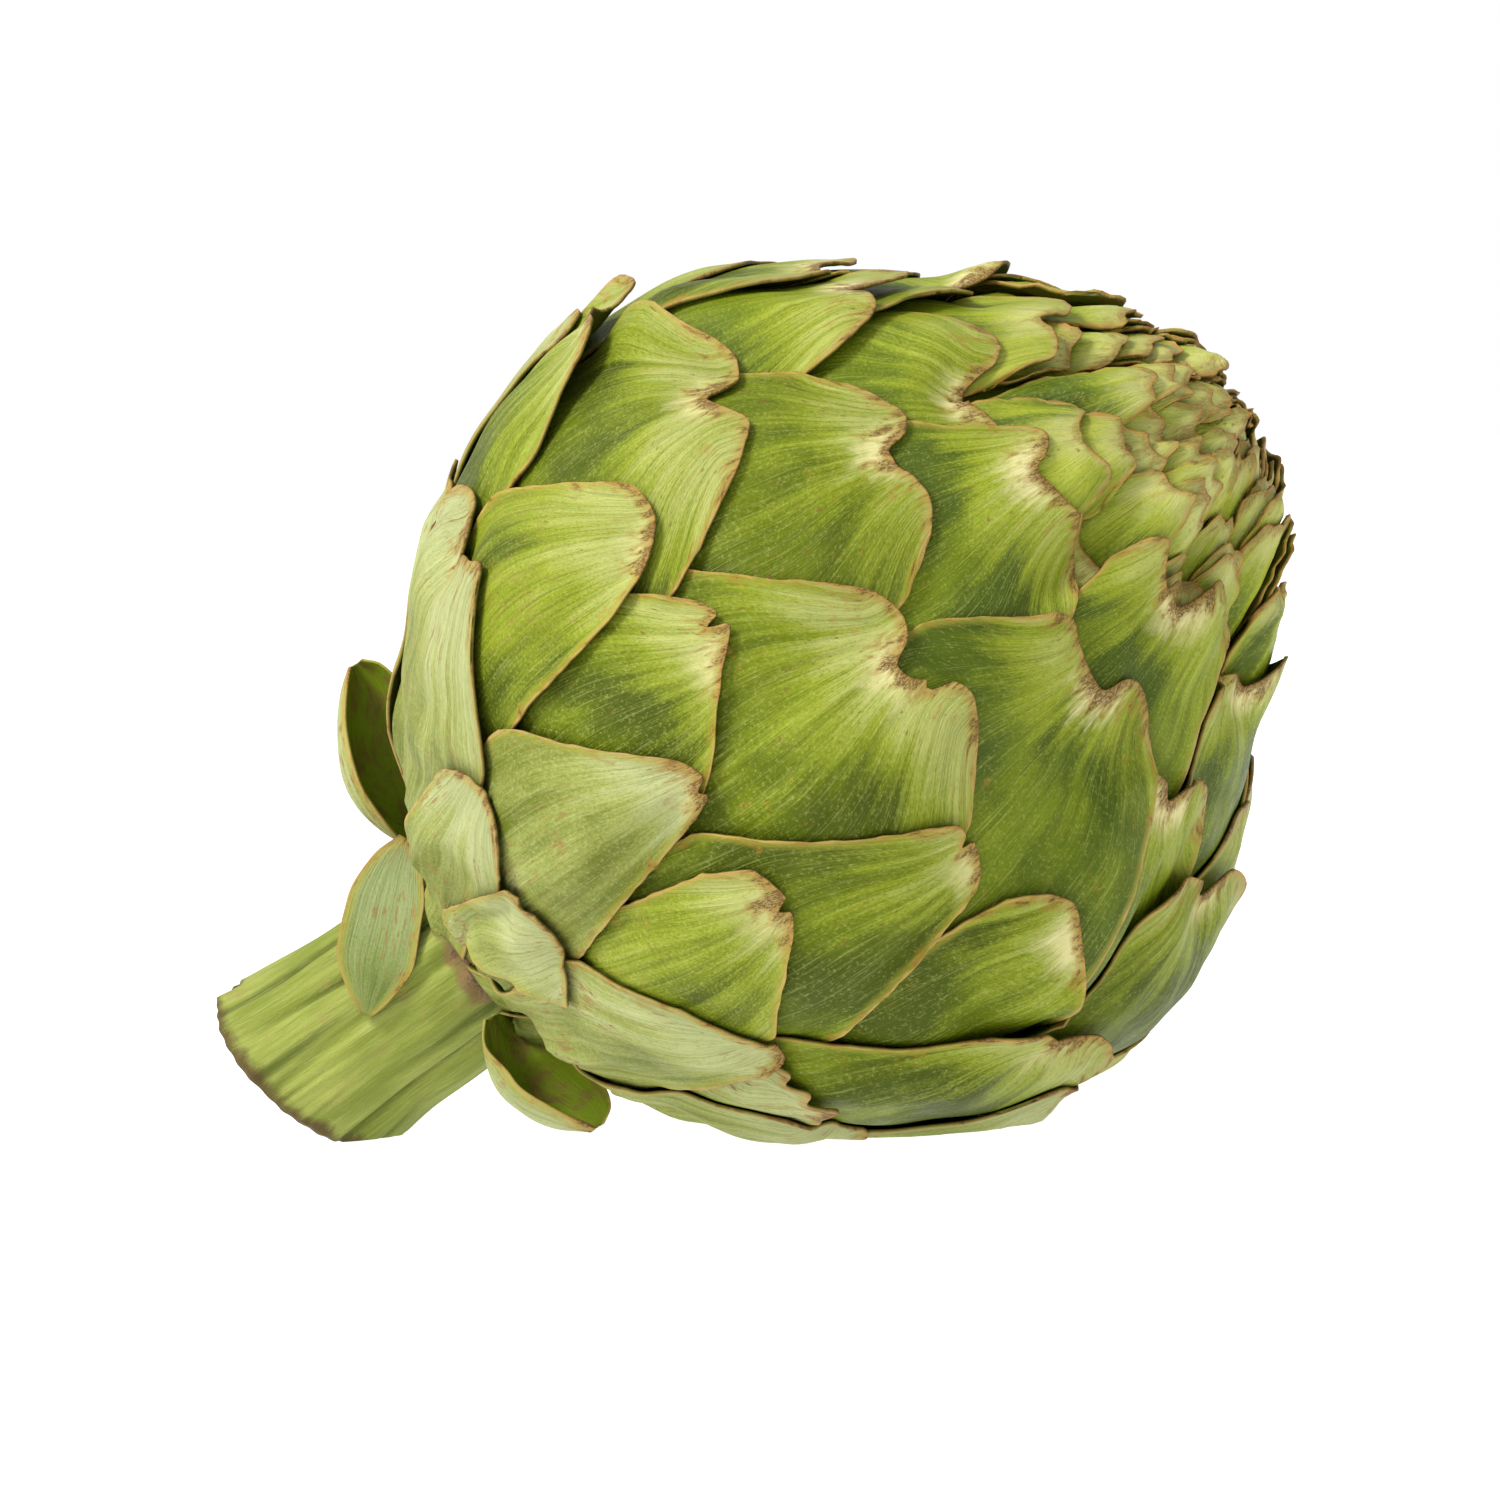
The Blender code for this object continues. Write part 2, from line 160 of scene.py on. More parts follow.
# ---- outlines ---------------------------------------------------------------
# The outline of a bract's upper part, from its left margin over the tip to its
# right margin, as (across, below the tip) in mm, and the places in the list
# where the margins end and the tip begins.
SHAPES = {
    -1: ([(-9.9, 25), (-10.1, 19.3), (-10.3, 9.6), (-9.9, 3.4), (-8.5, 0), (-7.2, 1.2), (-5.8, -0.2), (-3.9, 0), (1, 3.9), (5.7, 8.8), (5.3, 10.7), (1.9, 14.4), (-1.9, 19.2), (-5.4, 24.0)], 4, 9),
    4: ([(-7, 14), (-6.7, 6.5), (-4.4, 1.6), (-1.8, -0.5), (2.3, -1.2), (5.8, 0.6), (7.9, 4.6), (8.5, 9.5), (7.1, 15), (4.6, 20)], 2, 6),
    7: ([(-19.3, 15.7), (-16.8, 10.4), (-12.5, 5.0), (-6.6, 1.3), (-2.6, -0.2), (-0.6, 0.3), (0.6, 3.8), (1.2, 8), (2.0, 14.6), (4.5, 28)], 2, 6),
    9: ([(-19, 14), (-14, 5), (-11, 0.5), (-7.4, -1.8), (-4, -0.8), (-1.4, 2.4), (1.2, 0.2), (3.7, -1.2), (5.8, -3.0), (8, -1.2),
         (11, 1.2), (17.5, 5.8), (22.5, 11)], 1, 10),
    12: ([(-18.8, 21.2), (-13.1, 12.4), (-7.1, 4.0), (-3.9, 0.5), (-1.4, -0.4), (-0.3, 0.9), (0.5, 0.3), (2.0, 3.4), (3.2, 8.6), (4.8, 16.8), (6.4, 25.1)], 2, 7),
    15: ([(-10, 18), (-9, 9), (-7.5, 3), (-5, 0.5), (-3.4, 2.4), (-2, 0.2), (0, 2.2), (1.5, -0.8), (3.2, 2.5), (5.5, 5), (8, 12)], 2, 9),
    17: ([(-17.4, 19.0), (-12.8, 11.4), (-8.1, 4.2), (-4.3, 0.0), (-0.6, -0.8), (3.0, 1.1), (6.7, 5.1), (8.6, 11.2), (9.4, 17.9), (9.2, 24.5)], 2, 6),
    20: ([(-7.2, 24.8), (-7.0, 15.1), (-6.4, 6.2), (-3.6, 0.6), (0.4, -0.1), (1.3, 1.6), (2.2, 0.6), (3.6, 1.5), (6.9, 5.1), (10.5, 9.8), (14.4, 15.1)], 2, 8),
    22: ([(-14, 12), (-12, 5), (-9.3, -0.6), (-6.5, -2.2), (-3.4, -1.1), (-1.2, 1.0), (0.8, 1.2), (4.1, 0.2), (7.5, 1.2), (11.4, 3.7), (18.8, 10.7)], 1, 9),
    23: ([(-22.3, 21.8), (-18.6, 16.0), (-14.0, 10.0), (-9.4, 3.3), (-4.6, -0.7), (-2, -0.4), (-0.3, 1.4), (1.8, -0.1), (5.5, -2.3), (9.9, -0.1), (13.6, 6.7)], 3, 9),
    25: ([(-19, 24), (-14, 16.5), (-10.5, 11.4), (-6.4, 5.2), (-2.7, 0.8), (-0.9, -0.2), (-0.1, 1.6), (0.8, -0.9), (4.2, 1.9), (7.5, 4.8), (12.9, 9.6), (16, 15)], 3, 9),
    28: ([(-21.3, 25.3), (-17.3, 18.4), (-11.6, 10.3), (-6.2, 3.0), (-3.4, 0.4), (-2.1, 0.6), (-1.3, 2.0), (-0.4, 0.7), (2.6, 2.4), (4.2, 4.9), (4.8, 9.5), (5.4, 17.0), (6.6, 23.7), (8.2, 30)], 3, 9),
    30: ([(-21.5, 10.9), (-14.3, 2.7), (-10.1, -2.1), (-7.2, -3.8), (-3.9, -3.9), (-2.2, -2.2), (-1.0, 0.4), (1.6, -1.5), (5.1, -4.3), (8.1, -3.1), (14.0, 1.2), (19.1, 6.2), (22.9, 11.9)], 1, 11),
    33: ([(-24.9, 19.3), (-22.1, 14.6), (-17.8, 9.0), (-13.2, 2.3), (-9.4, -2.1), (-6.0, -3.4), (-3.4, -2.4), (-1.6, 0.8), (0.4, 0.4), (1.9, -1.2), (2.6, 0.4),
          (3.3, -3.2), (5.6, -4.3), (8.2, -3.0), (10.9, -0.9), (15.1, 2.9), (18.6, 6.6), (21.5, 12)], 3, 15),
    35: ([(-17, 12), (-13.5, 5), (-10, 0.4), (-7, -1.2), (-4.2, -0.2), (-2.6, 1.2), (0.2, 0.4), (4.5, -2.6), (8, -2.8), (11, -0.4), (15, 5), (18, 12)], 2, 9),
    36: ([(-9.6, 28.7), (-9.7, 19.2), (-8.6, 10.9), (-6.3, 4.7), (-2.6, 0.9), (-0.7, 0.3), (2.9, 3.5), (6.5, 7.5), (10.2, 12.3), (13, 18)], 3, 7),
    38: ([(-17.2, 9.6), (-13.2, 3.1), (-8.7, -0.8), (-5.3, -2.6), (-2.8, -1.8), (-1.0, 0.8), (0.8, 0.6), (3.2, -0.9), (6.1, -1.6), (9.5, -0.2), (13.6, 3.5), (17.0, 7.5)], 1, 10),
    41: ([(-21.5, 14.3), (-16.5, 6.6), (-11.8, 1.2), (-8.6, -2.4), (-6.4, -2.9), (-4.4, -2.2), (-1.2, -0.6), (1.0, 0.2), (2.6, -2.6), (4.6, -3.8), (6.6, -3.2), (9.6, -0.4), (14.3, 5.5), (18, 12)], 2, 11),
    43: ([(-16, 9), (-13.4, 3.3), (-11.2, -1.6), (-8, -4.6), (-5.0, -5.4), (-2.6, -4.2), (-1.4, -1.6), (-0.4, 0.6), (2.1, -1.8), (4.9, -3.2), (7.6, -1.9), (10.3, 0.5), (14.3, 6.1), (17, 12)], 1, 12),
    44: ([(-15.1, 8.5), (-13.3, 2.5), (-8.8, -1.4), (-6.4, -1.2), (-4.7, 0.9), (-2.4, -1.8), (0.4, -3.1), (3.0, -1.8), (7.0, 4.6), (10, 11)], 1, 8),
    46: ([(-15, 16), (-11, 8), (-8.6, 2.6), (-6.6, -0.6), (-4.4, -1.9), (-2.6, -1.0), (-1.2, 0.9), (1.1, -0.2), (5.0, -1.6), (8.6, -0.9), (13.1, 2.8), (16.3, 6.8), (18, 12)], 2, 10),
    49: ([(-14, 16), (-12.2, 10), (-11, 4.6), (-8.6, 0.8), (-6.2, -0.9), (-4.4, 0.8), (-2.6, 2.2), (-1.6, 0.2), (0.2, 2.4), (1.6, 0.6), (3.8, -3.3), (6.2, -1.9), (8.4, 0.6), (11, 6), (13, 13)], 2, 12),
    51: ([(-14, 15), (-12.2, 8), (-9.6, 2.2), (-6.6, -2.2), (-4.4, -3.5), (-2.4, -2.9), (-0.8, -0.8), (0.6, 1.0), (2.9, 1.1), (5.4, -0.8), (8.0, -1.1), (10.6, 0.9), (13.4, 4.5), (15.4, 9.1)], 2, 11),
    52: ([(-14, 13), (-11, 6), (-8, 0.6), (-5, -1.8), (-2.2, -1.2), (-0.6, 0.8), (2, -0.6), (5, -1.2), (8, 1), (11, 6), (13, 12)], 2, 8),
    59: ([(-11, 14), (-9, 7), (-6.6, 1.4), (-4.6, -1.2), (-2.8, -1.4), (-1.2, 0.6), (0.6, 1.6), (3.6, 0.2), (5.6, -0.9), (7.8, 1.0), (10, 5), (12, 11)], 2, 9),
}

blade_profile = curve([(0.0, 0.42), (0.07, 0.66), (0.2, 0.92), (0.4, 1.0), (0.68, 0.80), (1.0, 0.58)])


def outline(n, length, width, rng, notch=1.0, crumple=0.0):
    """Three functions: left and right margins x(d), and the tip's d at a place
    across from 0 (left shoulder) to 1; and the place of the notch."""
    if n in SHAPES:
        pts, i, j = SHAPES[n]
        left = [(d, x) for x, d in pts[:i + 1]][::-1]
        right = [(d, x) for x, d in pts[j:]]
        tip = list(pts[i:j + 1])
        inner = [p for p in tip[1:-1] if abs(p[0]) < 5]
        cut = max(inner, key=lambda p: p[1]) if inner else (0.0, 0.0)
    else:
        a = rng.uniform(-1, 1, 12)
        w = width
        q = min(1.0, w / 13)
        nd = notch * (2.6 + 1.2 * a[0]) * min(1.0, w / 17)
        off = 0.05 * w * a[1]
        tip = [(-(0.60 + 0.03 * a[2]) * w, (3.6 + 0.6 * a[3]) * q), (-(0.45 + 0.02 * a[2]) * w, 0.6 * q), (-0.29 * w, (-1.6 + 0.7 * a[4]) * q),
               (-0.13 * w + off, -1.2 * q), (off, -1.6 * q + nd), (0.11 * w + off, -1.0 * q + 0.3 * nd), (0.29 * w, (-1.9 + 0.7 * a[5]) * q),
               (0.46 * w, 0.5 * q), ((0.61 + 0.03 * a[6]) * w, (3.8 + 0.6 * a[7]) * q)]
        left = [(tip[0][1], tip[0][0]), ((9 + a[8]) * q, -(0.82 + 0.03 * a[9]) * w)]
        right = [(tip[-1][1], tip[-1][0]), ((9 + a[10]) * q, (0.82 + 0.03 * a[11]) * w)]
        cut = tip[4]
    if crumple:
        tip = [(x, d + crumple * rng.uniform(-1, 1)) for x, d in tip]
        left[0], right[0] = (tip[0][1], tip[0][0]), (tip[-1][1], tip[-1][0])
        left = [left[0]] + [p for p in left[1:] if p[0] > left[0][0] + 1.5]
        right = [right[0]] + [p for p in right[1:] if p[0] > right[0][0] + 1.5]
    # below the drawn part the margins follow the common shape to the foot
    for side, sign in ((left, -1), (right, 1)):
        lean = side[-1][1] - sign * width * blade_profile(side[-1][0] / length)
        start = side[-1][0]
        for q in (0.32, 0.45, 0.6, 0.75, 0.9, 1.0):
            d = q * length
            if d > start + 5:
                fade = max(0.0, 1 - (d - start) / (0.55 * length))
                side.append((d, sign * width * float(blade_profile(q)) + lean * fade))
    return curve(left), curve(right), curve(tip), (left[0], tip[0][0], tip[-1][0], right[0]), cut


# ---- the surface that later bracts lie on -------------------------------------
N_TH, N_PH = 360, 720
FLAT_SIDE = 10                                   # the head is a little flatter here
CELL = math.pi / N_TH
TH_GRID = (np.arange(N_TH) + 0.5) * CELL
core_depth = curve([(0, 4.2), (0.35, 4.6), (0.7, 7.0), (1.2, 15.0), (2.4, 15.0), (2.9, 4.0)])
SURFACE = np.repeat((head_rho(TH_GRID) - core_depth(TH_GRID))[:, None], N_PH, axis=1)

# and the heart's flank, which the lowest bracts lie on
_z = np.linspace(-1.5, 11.3, 60)
_r = heart_radius(_z)
_th, _rho = np.arctan2(_r, _z - MIDDLE)[::-1], np.hypot(_r, _z - MIDDLE)[::-1]
_flank = np.where((TH_GRID > _th[0]) & (TH_GRID < _th[-1]), np.interp(TH_GRID, _th, _rho), 0.0)
SURFACE = np.maximum(SURFACE, (_flank + 0.1)[:, None])


def sample(a, th, ph):
    y = np.clip(th / CELL - 0.5, 0, N_TH - 1.001)
    x = (ph / CELL - 0.5) % N_PH
    y0, x0 = y.astype(int), x.astype(int)
    fy, fx = y - y0, x - x0
    x0 %= N_PH
    x1 = (x0 + 1) % N_PH
    return ((a[y0, x0] * (1 - fx) + a[y0, x1] * fx) * (1 - fy) + (a[y0 + 1, x0] * (1 - fx) + a[y0 + 1, x1] * fx) * fy)


def stretch(a, k):
    """A grid with k steps for each of its cells, in both directions."""
    def along(b):
        i = np.arange((b.shape[0] - 1) * k + 1) / k
        j = np.minimum(i.astype(int), b.shape[0] - 2)
        f = (i - j)[:, None]
        return b[j] * (1 - f) + b[j + 1] * f
    return along(along(a).T).T


def raise_surface(points, k=4):
    """Adds an outer face, a grid of local points, to the surface."""
    x, y, z = (stretch(points[..., c], k) for c in range(3))
    z = z - MIDDLE
    rho = np.sqrt(x * x + y * y + z * z)
    th, ph = np.arccos(z / rho), np.arctan2(y, x)
    i = np.clip((th / CELL).astype(int), 0, N_TH - 1)
    j = (ph / CELL).astype(int) % N_PH
    j = np.floor(ph / CELL).astype(int) % N_PH
    np.maximum.at(SURFACE, (i.ravel(), j.ravel()), rho.ravel())


def settle_field():
    """How far the stack of bracts stands outside the head's outline, evened out.
    Taking this off along each ray keeps the bracts in their order."""
    excess = SURFACE - head_rho(TH_GRID)[:, None] + 0.45 + 0.9 * smooth(TH_GRID, 1.5, 0.8)[:, None]
    facing = np.cos((np.arange(N_PH) + 0.5) * CELL - math.radians(FLAT_SIDE))[None, :]
    excess = excess + (0.9 + 1.5 * facing) * smooth(TH_GRID, 1.25, 0.55)[:, None]
    harmonics = np.fft.rfft(excess, axis=1)
    order = np.arange(harmonics.shape[1])[None, :]
    limit = 1.5 + 7.0 * np.sin(TH_GRID)[:, None]
    harmonics = harmonics * np.exp(-(order / limit) ** 2)
    even = np.fft.irfft(harmonics, N_PH, axis=1)
    reach = np.arange(-30, 31)
    kernel = np.exp(-(reach / 11.0) ** 2)
    kernel /= kernel.sum()
    padded = np.vstack([np.repeat(even[:1], 30, 0), even, np.repeat(even[-1:], 30, 0)])
    even = sum(w * padded[k:k + N_TH] for k, w in enumerate(kernel))
    return even * smooth(TH_GRID, math.radians(166), math.radians(158))[:, None]


def widen(a, times):
    """Local maximum over a few cells of a blade's grid."""
    for _ in range(times):
        b = np.pad(a, 1, mode="edge")
        a = np.maximum.reduce([b[1:-1, 1:-1], b[:-2, 1:-1], b[2:, 1:-1], b[1:-1, :-2], b[1:-1, 2:]])
    return a


def soften(a, times):
    for _ in range(times):
        b = np.pad(a, ((1, 1), (0, 0)), mode="edge")
        a = (b[:-2] + 2 * b[1:-1] + b[2:]) / 4
        b = np.pad(a, ((0, 0), (1, 1)), mode="edge")
        a = (b[:, :-2] + 2 * b[:, 1:-1] + b[:, 2:]) / 4
    return a


def waves(u, v, rng, count=5, lo=0.5, hi=2.5):
    """A smooth uneven field of about unit height."""
    out = np.zeros(np.broadcast(u, v).shape)
    for _ in range(count):
        f, g, p = rng.uniform(-hi, hi), rng.uniform(lo, hi), rng.uniform(0, 2 * math.pi)
        out = out + np.sin(2 * math.pi * (f * u + g * v) + p)
    return out / math.sqrt(count)


def polar(points):
    p = points - np.array([0, 0, MIDDLE])
    rho = np.linalg.norm(p, axis=-1)
    return rho, np.arccos(p[..., 2] / rho), np.arctan2(p[..., 1], p[..., 0]), p / rho[..., None]


# ---- meshes -------------------------------------------------------------------
NAMES = ("fibre", "along", "edge", "notch", "below", "tone", "face", "bloom")


class Solid:
    """Closed blades gathered into one mesh."""

    def __init__(self):
        self.points, self.quads, self.facts, self.count = [], [], {k: [] for k in NAMES}, 0

    def blade(self, outer, inner, facts):
        rows, cols = outer.shape[:2]
        a = np.arange(rows * cols).reshape(rows, cols) + self.count
        b = a + rows * cols
        top = np.stack([a[:-1, :-1], a[:-1, 1:], a[1:, 1:], a[1:, :-1]], -1).reshape(-1, 4)
        low = np.stack([b[:-1, :-1], b[1:, :-1], b[1:, 1:], b[:-1, 1:]], -1).reshape(-1, 4)
        ring_a = np.concatenate([a[0, :-1], a[:-1, -1], a[-1, :0:-1], a[:0:-1, 0]])
        ring_b = ring_a + rows * cols
        rim = np.stack([ring_a, ring_b, np.roll(ring_b, -1), np.roll(ring_a, -1)], -1)
        quads = np.concatenate([top, low, rim])
        # the outer face looks away from the inner one
        p = np.concatenate([outer.reshape(-1, 3), inner.reshape(-1, 3)])
        q = quads - self.count
        n = np.cross(p[q[:, 1]] - p[q[:, 0]], p[q[:, 2]] - p[q[:, 0]])
        volume = (p[q].mean(axis=1) * n).sum()
        if volume < 0:
            quads = quads[:, ::-1]
        self.points.append(p)
        self.quads.append(quads)
        for k in NAMES:
            v = np.broadcast_to(np.asarray(facts.get(k, 0.0), float), (rows, cols)).ravel()
            if k == "face":
                self.facts[k] += [v, np.ones_like(v)]
            else:
                self.facts[k] += [v, v]
        self.count += 2 * rows * cols

    def add(self, points, quads, facts):
        self.points.append(points)
        self.quads.append(quads + self.count)
        for k in NAMES:
            self.facts[k].append(np.broadcast_to(np.asarray(facts.get(k, 0.0), float), (len(points),)))
        self.count += len(points)

    def finish(self, name, material, settle=None):
        local = np.concatenate(self.points)
        if settle is not None:
            rho, th, ph, direction = polar(local)
            local = local - direction * sample(settle, th, ph)[:, None]
        world = local @ LAY.T + ROOT
        world[:, 2] = np.maximum(world[:, 2], 0.0)       # pressed flat where it rests
        quads = np.concatenate(self.quads)
        mesh = bpy.data.meshes.new(name)
        mesh.vertices.add(len(world))
        mesh.vertices.foreach_set("co", (world * MM).ravel())
        mesh.loops.add(quads.size)
        mesh.loops.foreach_set("vertex_index", quads.ravel().astype(np.int32))
        mesh.polygons.add(len(quads))
        mesh.polygons.foreach_set("loop_start", np.arange(0, quads.size, 4, dtype=np.int32))
        mesh.update(calc_edges=True)
        mesh.validate()
        mesh.shade_smooth()
        for k in NAMES:
            layer = mesh.attributes.new(k, "FLOAT", "POINT")
            layer.data.foreach_set("value", np.concatenate(self.facts[k]).astype(np.float32))
        obj = bpy.data.objects.new(name, mesh)
        bpy.context.scene.collection.objects.link(obj)
        mesh.materials.append(material)
        return obj


def spaced(count, crowd):
    """Stations from 0 to 1, closer together towards 1, with one more near the end."""
    t = np.linspace(0, 1, count)
    v = t * (1 + crowd) - crowd * t * t
    v = v / v[-1]
    return np.concatenate([v[:-1], [1 - 0.25 * (1 - v[-2])], v[-1:]])


def to_outline(x, d, left, right, tip, ends):
    """Distance in mm from each grid point to the blade's margin."""
    (dl, _), x0, x1, (dr, _) = ends
    line = []
    for fn, start in ((left, dl), (right, dr)):
        dd = np.linspace(start, start + 45, 70)
        line.append(np.stack([fn(dd), dd], -1))
    xx = np.linspace(x0, x1, 110)
    line.append(np.stack([xx, tip(xx)], -1))
    best = np.full(x.shape, 99.0)
    for part in line:
        for q in part:
            best = np.minimum(best, (x - q[0]) ** 2 + (d - q[1]) ** 2)
    return np.sqrt(best)


def bract(solid, n, cols, rows):
    rng = np.random.default_rng(1000 + n)
    young = n > LAST_LARGE
    if not young:
        z1 = tip_station(n)
        s1 = run_at(z1)
        z0 = foot(min(n, LAST_BRACT))
        s0 = run_at(z0 if n > 12 else 1.0 if n > -1 else 2.6) if n <= LAST_BRACT else s1 - 46
        width = float(SLENDER.get(n) or half_width(n))
        az = math.radians(azimuth(n))
    else:
        k = n - LAST_LARGE - 1
        x = math.sqrt(max((6 * math.exp(-k / 42) - 1) / 5, 0.002))
        s1 = S_TOP - YOUNG_REACH * x + rng.uniform(-1.0, 1.0)
        s0 = s1 - (8 + 15 * x)
        width = (2.4 + 4.8 * x) * rng.uniform(0.8, 1.2)
        az = math.radians(SPIRAL_PHASE + GOLDEN_ANGLE * n + rng.uniform(-16, 16))
    length = s1 - s0
    left, right, tip, ends, cut = outline(n, length, width, rng, notch=0.45 if young else 1.0 if n > 18 else 0.35, crumple=0.30 * young)
    (dl, _), x0, x1, (dr, _) = ends

    half = cols // 2
    ramp = np.linspace(0, 1, half + 1)
    ramp = np.concatenate([ramp[:-1], [1 - 0.25 * (1 - ramp[-2])], ramp[-1:]])
    u = np.concatenate([-ramp[:0:-1], ramp])
    v = spaced(rows, 0.45)
    U, V = np.meshgrid(u, v)
    f = (U + 1) / 2
    # a place on the blade, from the shoulders, the margins and the tip
    tip_d = tip(x0 + (x1 - x0) * f)
    ld, rd = length - V * (length - dl), length - V * (length - dr)
    X = left(ld) * (1 - f) + right(rd) * f
    D = length - V * (length - tip_d)
    ragged = 0.07 * waves(U * 0, D * 0.10, rng, 6, 0.5, 4.5)
    X = X + ragged * np.abs(U) ** 8 * np.sign(U)
    D = D + 0.06 * waves(X * 0.12, 0 * X, rng, 6, 0.3, 4.0) * V ** 10
    S = s1 - D
    edge = to_outline(X, D, left, right, tip, ends)
    edge[:, 0] = edge[:, -1] = 0.0
    edge[-1, :] = 0.0
    notch = np.hypot((X - cut[0]) * 0.9, (D - cut[1]) * 0.75)

    thick = 0.42 + 0.48 * smooth(edge, 0, 5) if not young else 0.50 + 1.00 * smooth(edge, 0, 2.6)
    if not young and n <= LAST_BRACT:
        Z = np.interp(S, OUT_S, OUT_Z)
        R = np.maximum(head_radius(Z) - depth(n, Z), 3.5)
        turn = np.clip(X / np.maximum(R, 6.0), -math.radians(48), math.radians(48))
        A = az + turn
        P = np.stack([R * np.cos(A), R * np.sin(A), Z], -1)
    else:
        # near the top a blade runs across the crown, not around it
        s = np.clip(S, 0, 2 * S_TOP)
        past = s > S_TOP
        m = np.where(past, 2 * S_TOP - s, s)
        Z = np.interp(m, OUT_S, OUT_Z)
        R = np.interp(m, OUT_S, OUT_R)
        th = np.arctan2(R, Z - MIDDLE) * np.where(past, -1, 1)
        d0 = np.stack([np.sin(th) * math.cos(az), np.sin(th) * math.sin(az), np.cos(th)], -1)
        side = np.array([-math.sin(az), math.cos(az), 0.0])
        beta = X / np.maximum(head_rho(np.abs(th)), 20)
        direction = d0 * np.cos(beta)[..., None] + side * np.sin(beta)[..., None]
        th2 = np.arccos(np.clip(direction[..., 2], -1, 1))
        sink = 1.2 + 0.05 * (n - LAST_BRACT) if not young else 5.0
        P = direction * (head_rho(th2) - sink)[..., None] + np.array([0, 0, MIDDLE])

    rho, th, ph, direction = polar(P)
    hang = LIFT.get(n, (0, 0, 0))
    near_tip = smooth(D, 14, 0)
    lift = (hang[0] * smooth(-U, 0.2, 1) + hang[2] * smooth(U, 0.2, 1)) * smooth(edge, 5, 0) * smooth(D, 40, 18) + hang[1] * near_tip ** 2
    rho = rho - 0.9 * np.exp(-(notch / 3.2) ** 2) * (n > 18) + 0.22 * waves(X * 0.05, D * 0.04, rng)
    if n > LAST_BRACT:
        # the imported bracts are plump, their margins tucked in
        plump = 1.25 if young else 0.7
        rho = rho + plump * (1 - np.exp(-(edge / 1.7) ** 2)) - 0.5 * plump
    if young:
        proud, tilt = rng.uniform(0.2, 1.0 + 1.6 * (1 - x)), rng.uniform(-0.9, 0.9)
        rho = rho + proud * smooth(D, 6, 0.5) ** 1.3 + tilt * U * smooth(D, 7, 0) + 0.30 * waves(X * 0.15, D * 0.13, rng)
    under = sample(SURFACE, th, ph)
    need = under + 0.10 + thick
    # the margins come down onto the bracts beneath
    fall = np.clip(rho - soften(widen(need, 1), 4), 0, 5.5 if not young else 2.5)
    rho = rho - fall * np.clip(np.exp(-(edge / 5.0) ** 2) + 0.25 * smooth(D, 16, 0), 0, 1)
    rise = np.maximum(need - rho, 0)
    rise = soften(widen(rise, 1), 3)
    rho = np.maximum(rho + rise, need)
    rho = np.maximum(soften(rho, 1), need) + np.maximum(lift, 0) + 0.12 * smooth(edge, 2.5, 0)
    if young:
        # the margins of the young bracts are crinkled
        rho = rho + 0.15 * (1 + waves(X * 0.22, D * 0.20, rng)) * smooth(edge, 1.5, 0)
    centre = np.array([0, 0, MIDDLE])
    outer = centre + direction * rho[..., None]
    inner = centre + direction * (rho - thick)[..., None]
    raise_surface(outer)
    # the fibres run up from the foot and meet at the notch
    reach = min(20.0, 0.5 * length)
    fan = (0.50 + 0.50 * smooth(D, -3, reach)) * (0.45 + 0.55 * blade_profile(np.clip(D / length, 0, 1)))
    fibre = (X - cut[0] * smooth(D, reach * 1.2, 0)) / fan
    facts = dict(fibre=fibre, along=length - D, edge=edge, notch=notch if n > 6 else 99.0, below=D,
                 tone=rng.uniform(0, 1), face=0.0, bloom=min(1.0, max(1 - n / 48, 0.0) ** 1.25))
    solid.blade(outer, inner, facts)


# How far a margin stands off its neighbours: (left, tip, right) in mm
LIFT = {
    -1: (0.3, 0.5, 0.2), 4: (0.3, 0.3, 0.4), 7: (0.1, 0.3, 0.2), 9: (0.2, 0.4, 0.3), 12: (0.2, 0.3, 0.3), 15: (0.2, 0.8, 0.4),
    17: (0.2, 0.4, 0.4), 20: (0.2, 0.4, 0.4), 22: (1.4, 3.0, 0.1), 23: (0.1, 1.4, 0.8), 25: (0.2, 0.3, 0.2), 28: (0.1, 0.3, 0.3),
    30: (0.1, 0.2, 0.1), 33: (0.2, 0.2, 0.1), 35: (0.2, 0.5, 0.3), 36: (0.2, 0.9, 0.9), 43: (0.3, 1.0, 0.1), 44: (0.1, 1.0, 0.8),
    31: (0.2, 1.2, 0.8), 10: (0.0, 0.0, 0.0), 49: (0.1, 0.6, 0.5), 52: (0.1, 0.9, 0.8), 56: (0.2, 1.2, 0.1), 48: (0.2, 0.9, 0.6),
    57: (0.3, 1.0, 0.8), 61: (0.2, 1.2, 0.3), 64: (0.2, 1.2, 0.2), 54: (0.1, 0.5, 0.3), 62: (0.1, 0.6, 0.3),
}


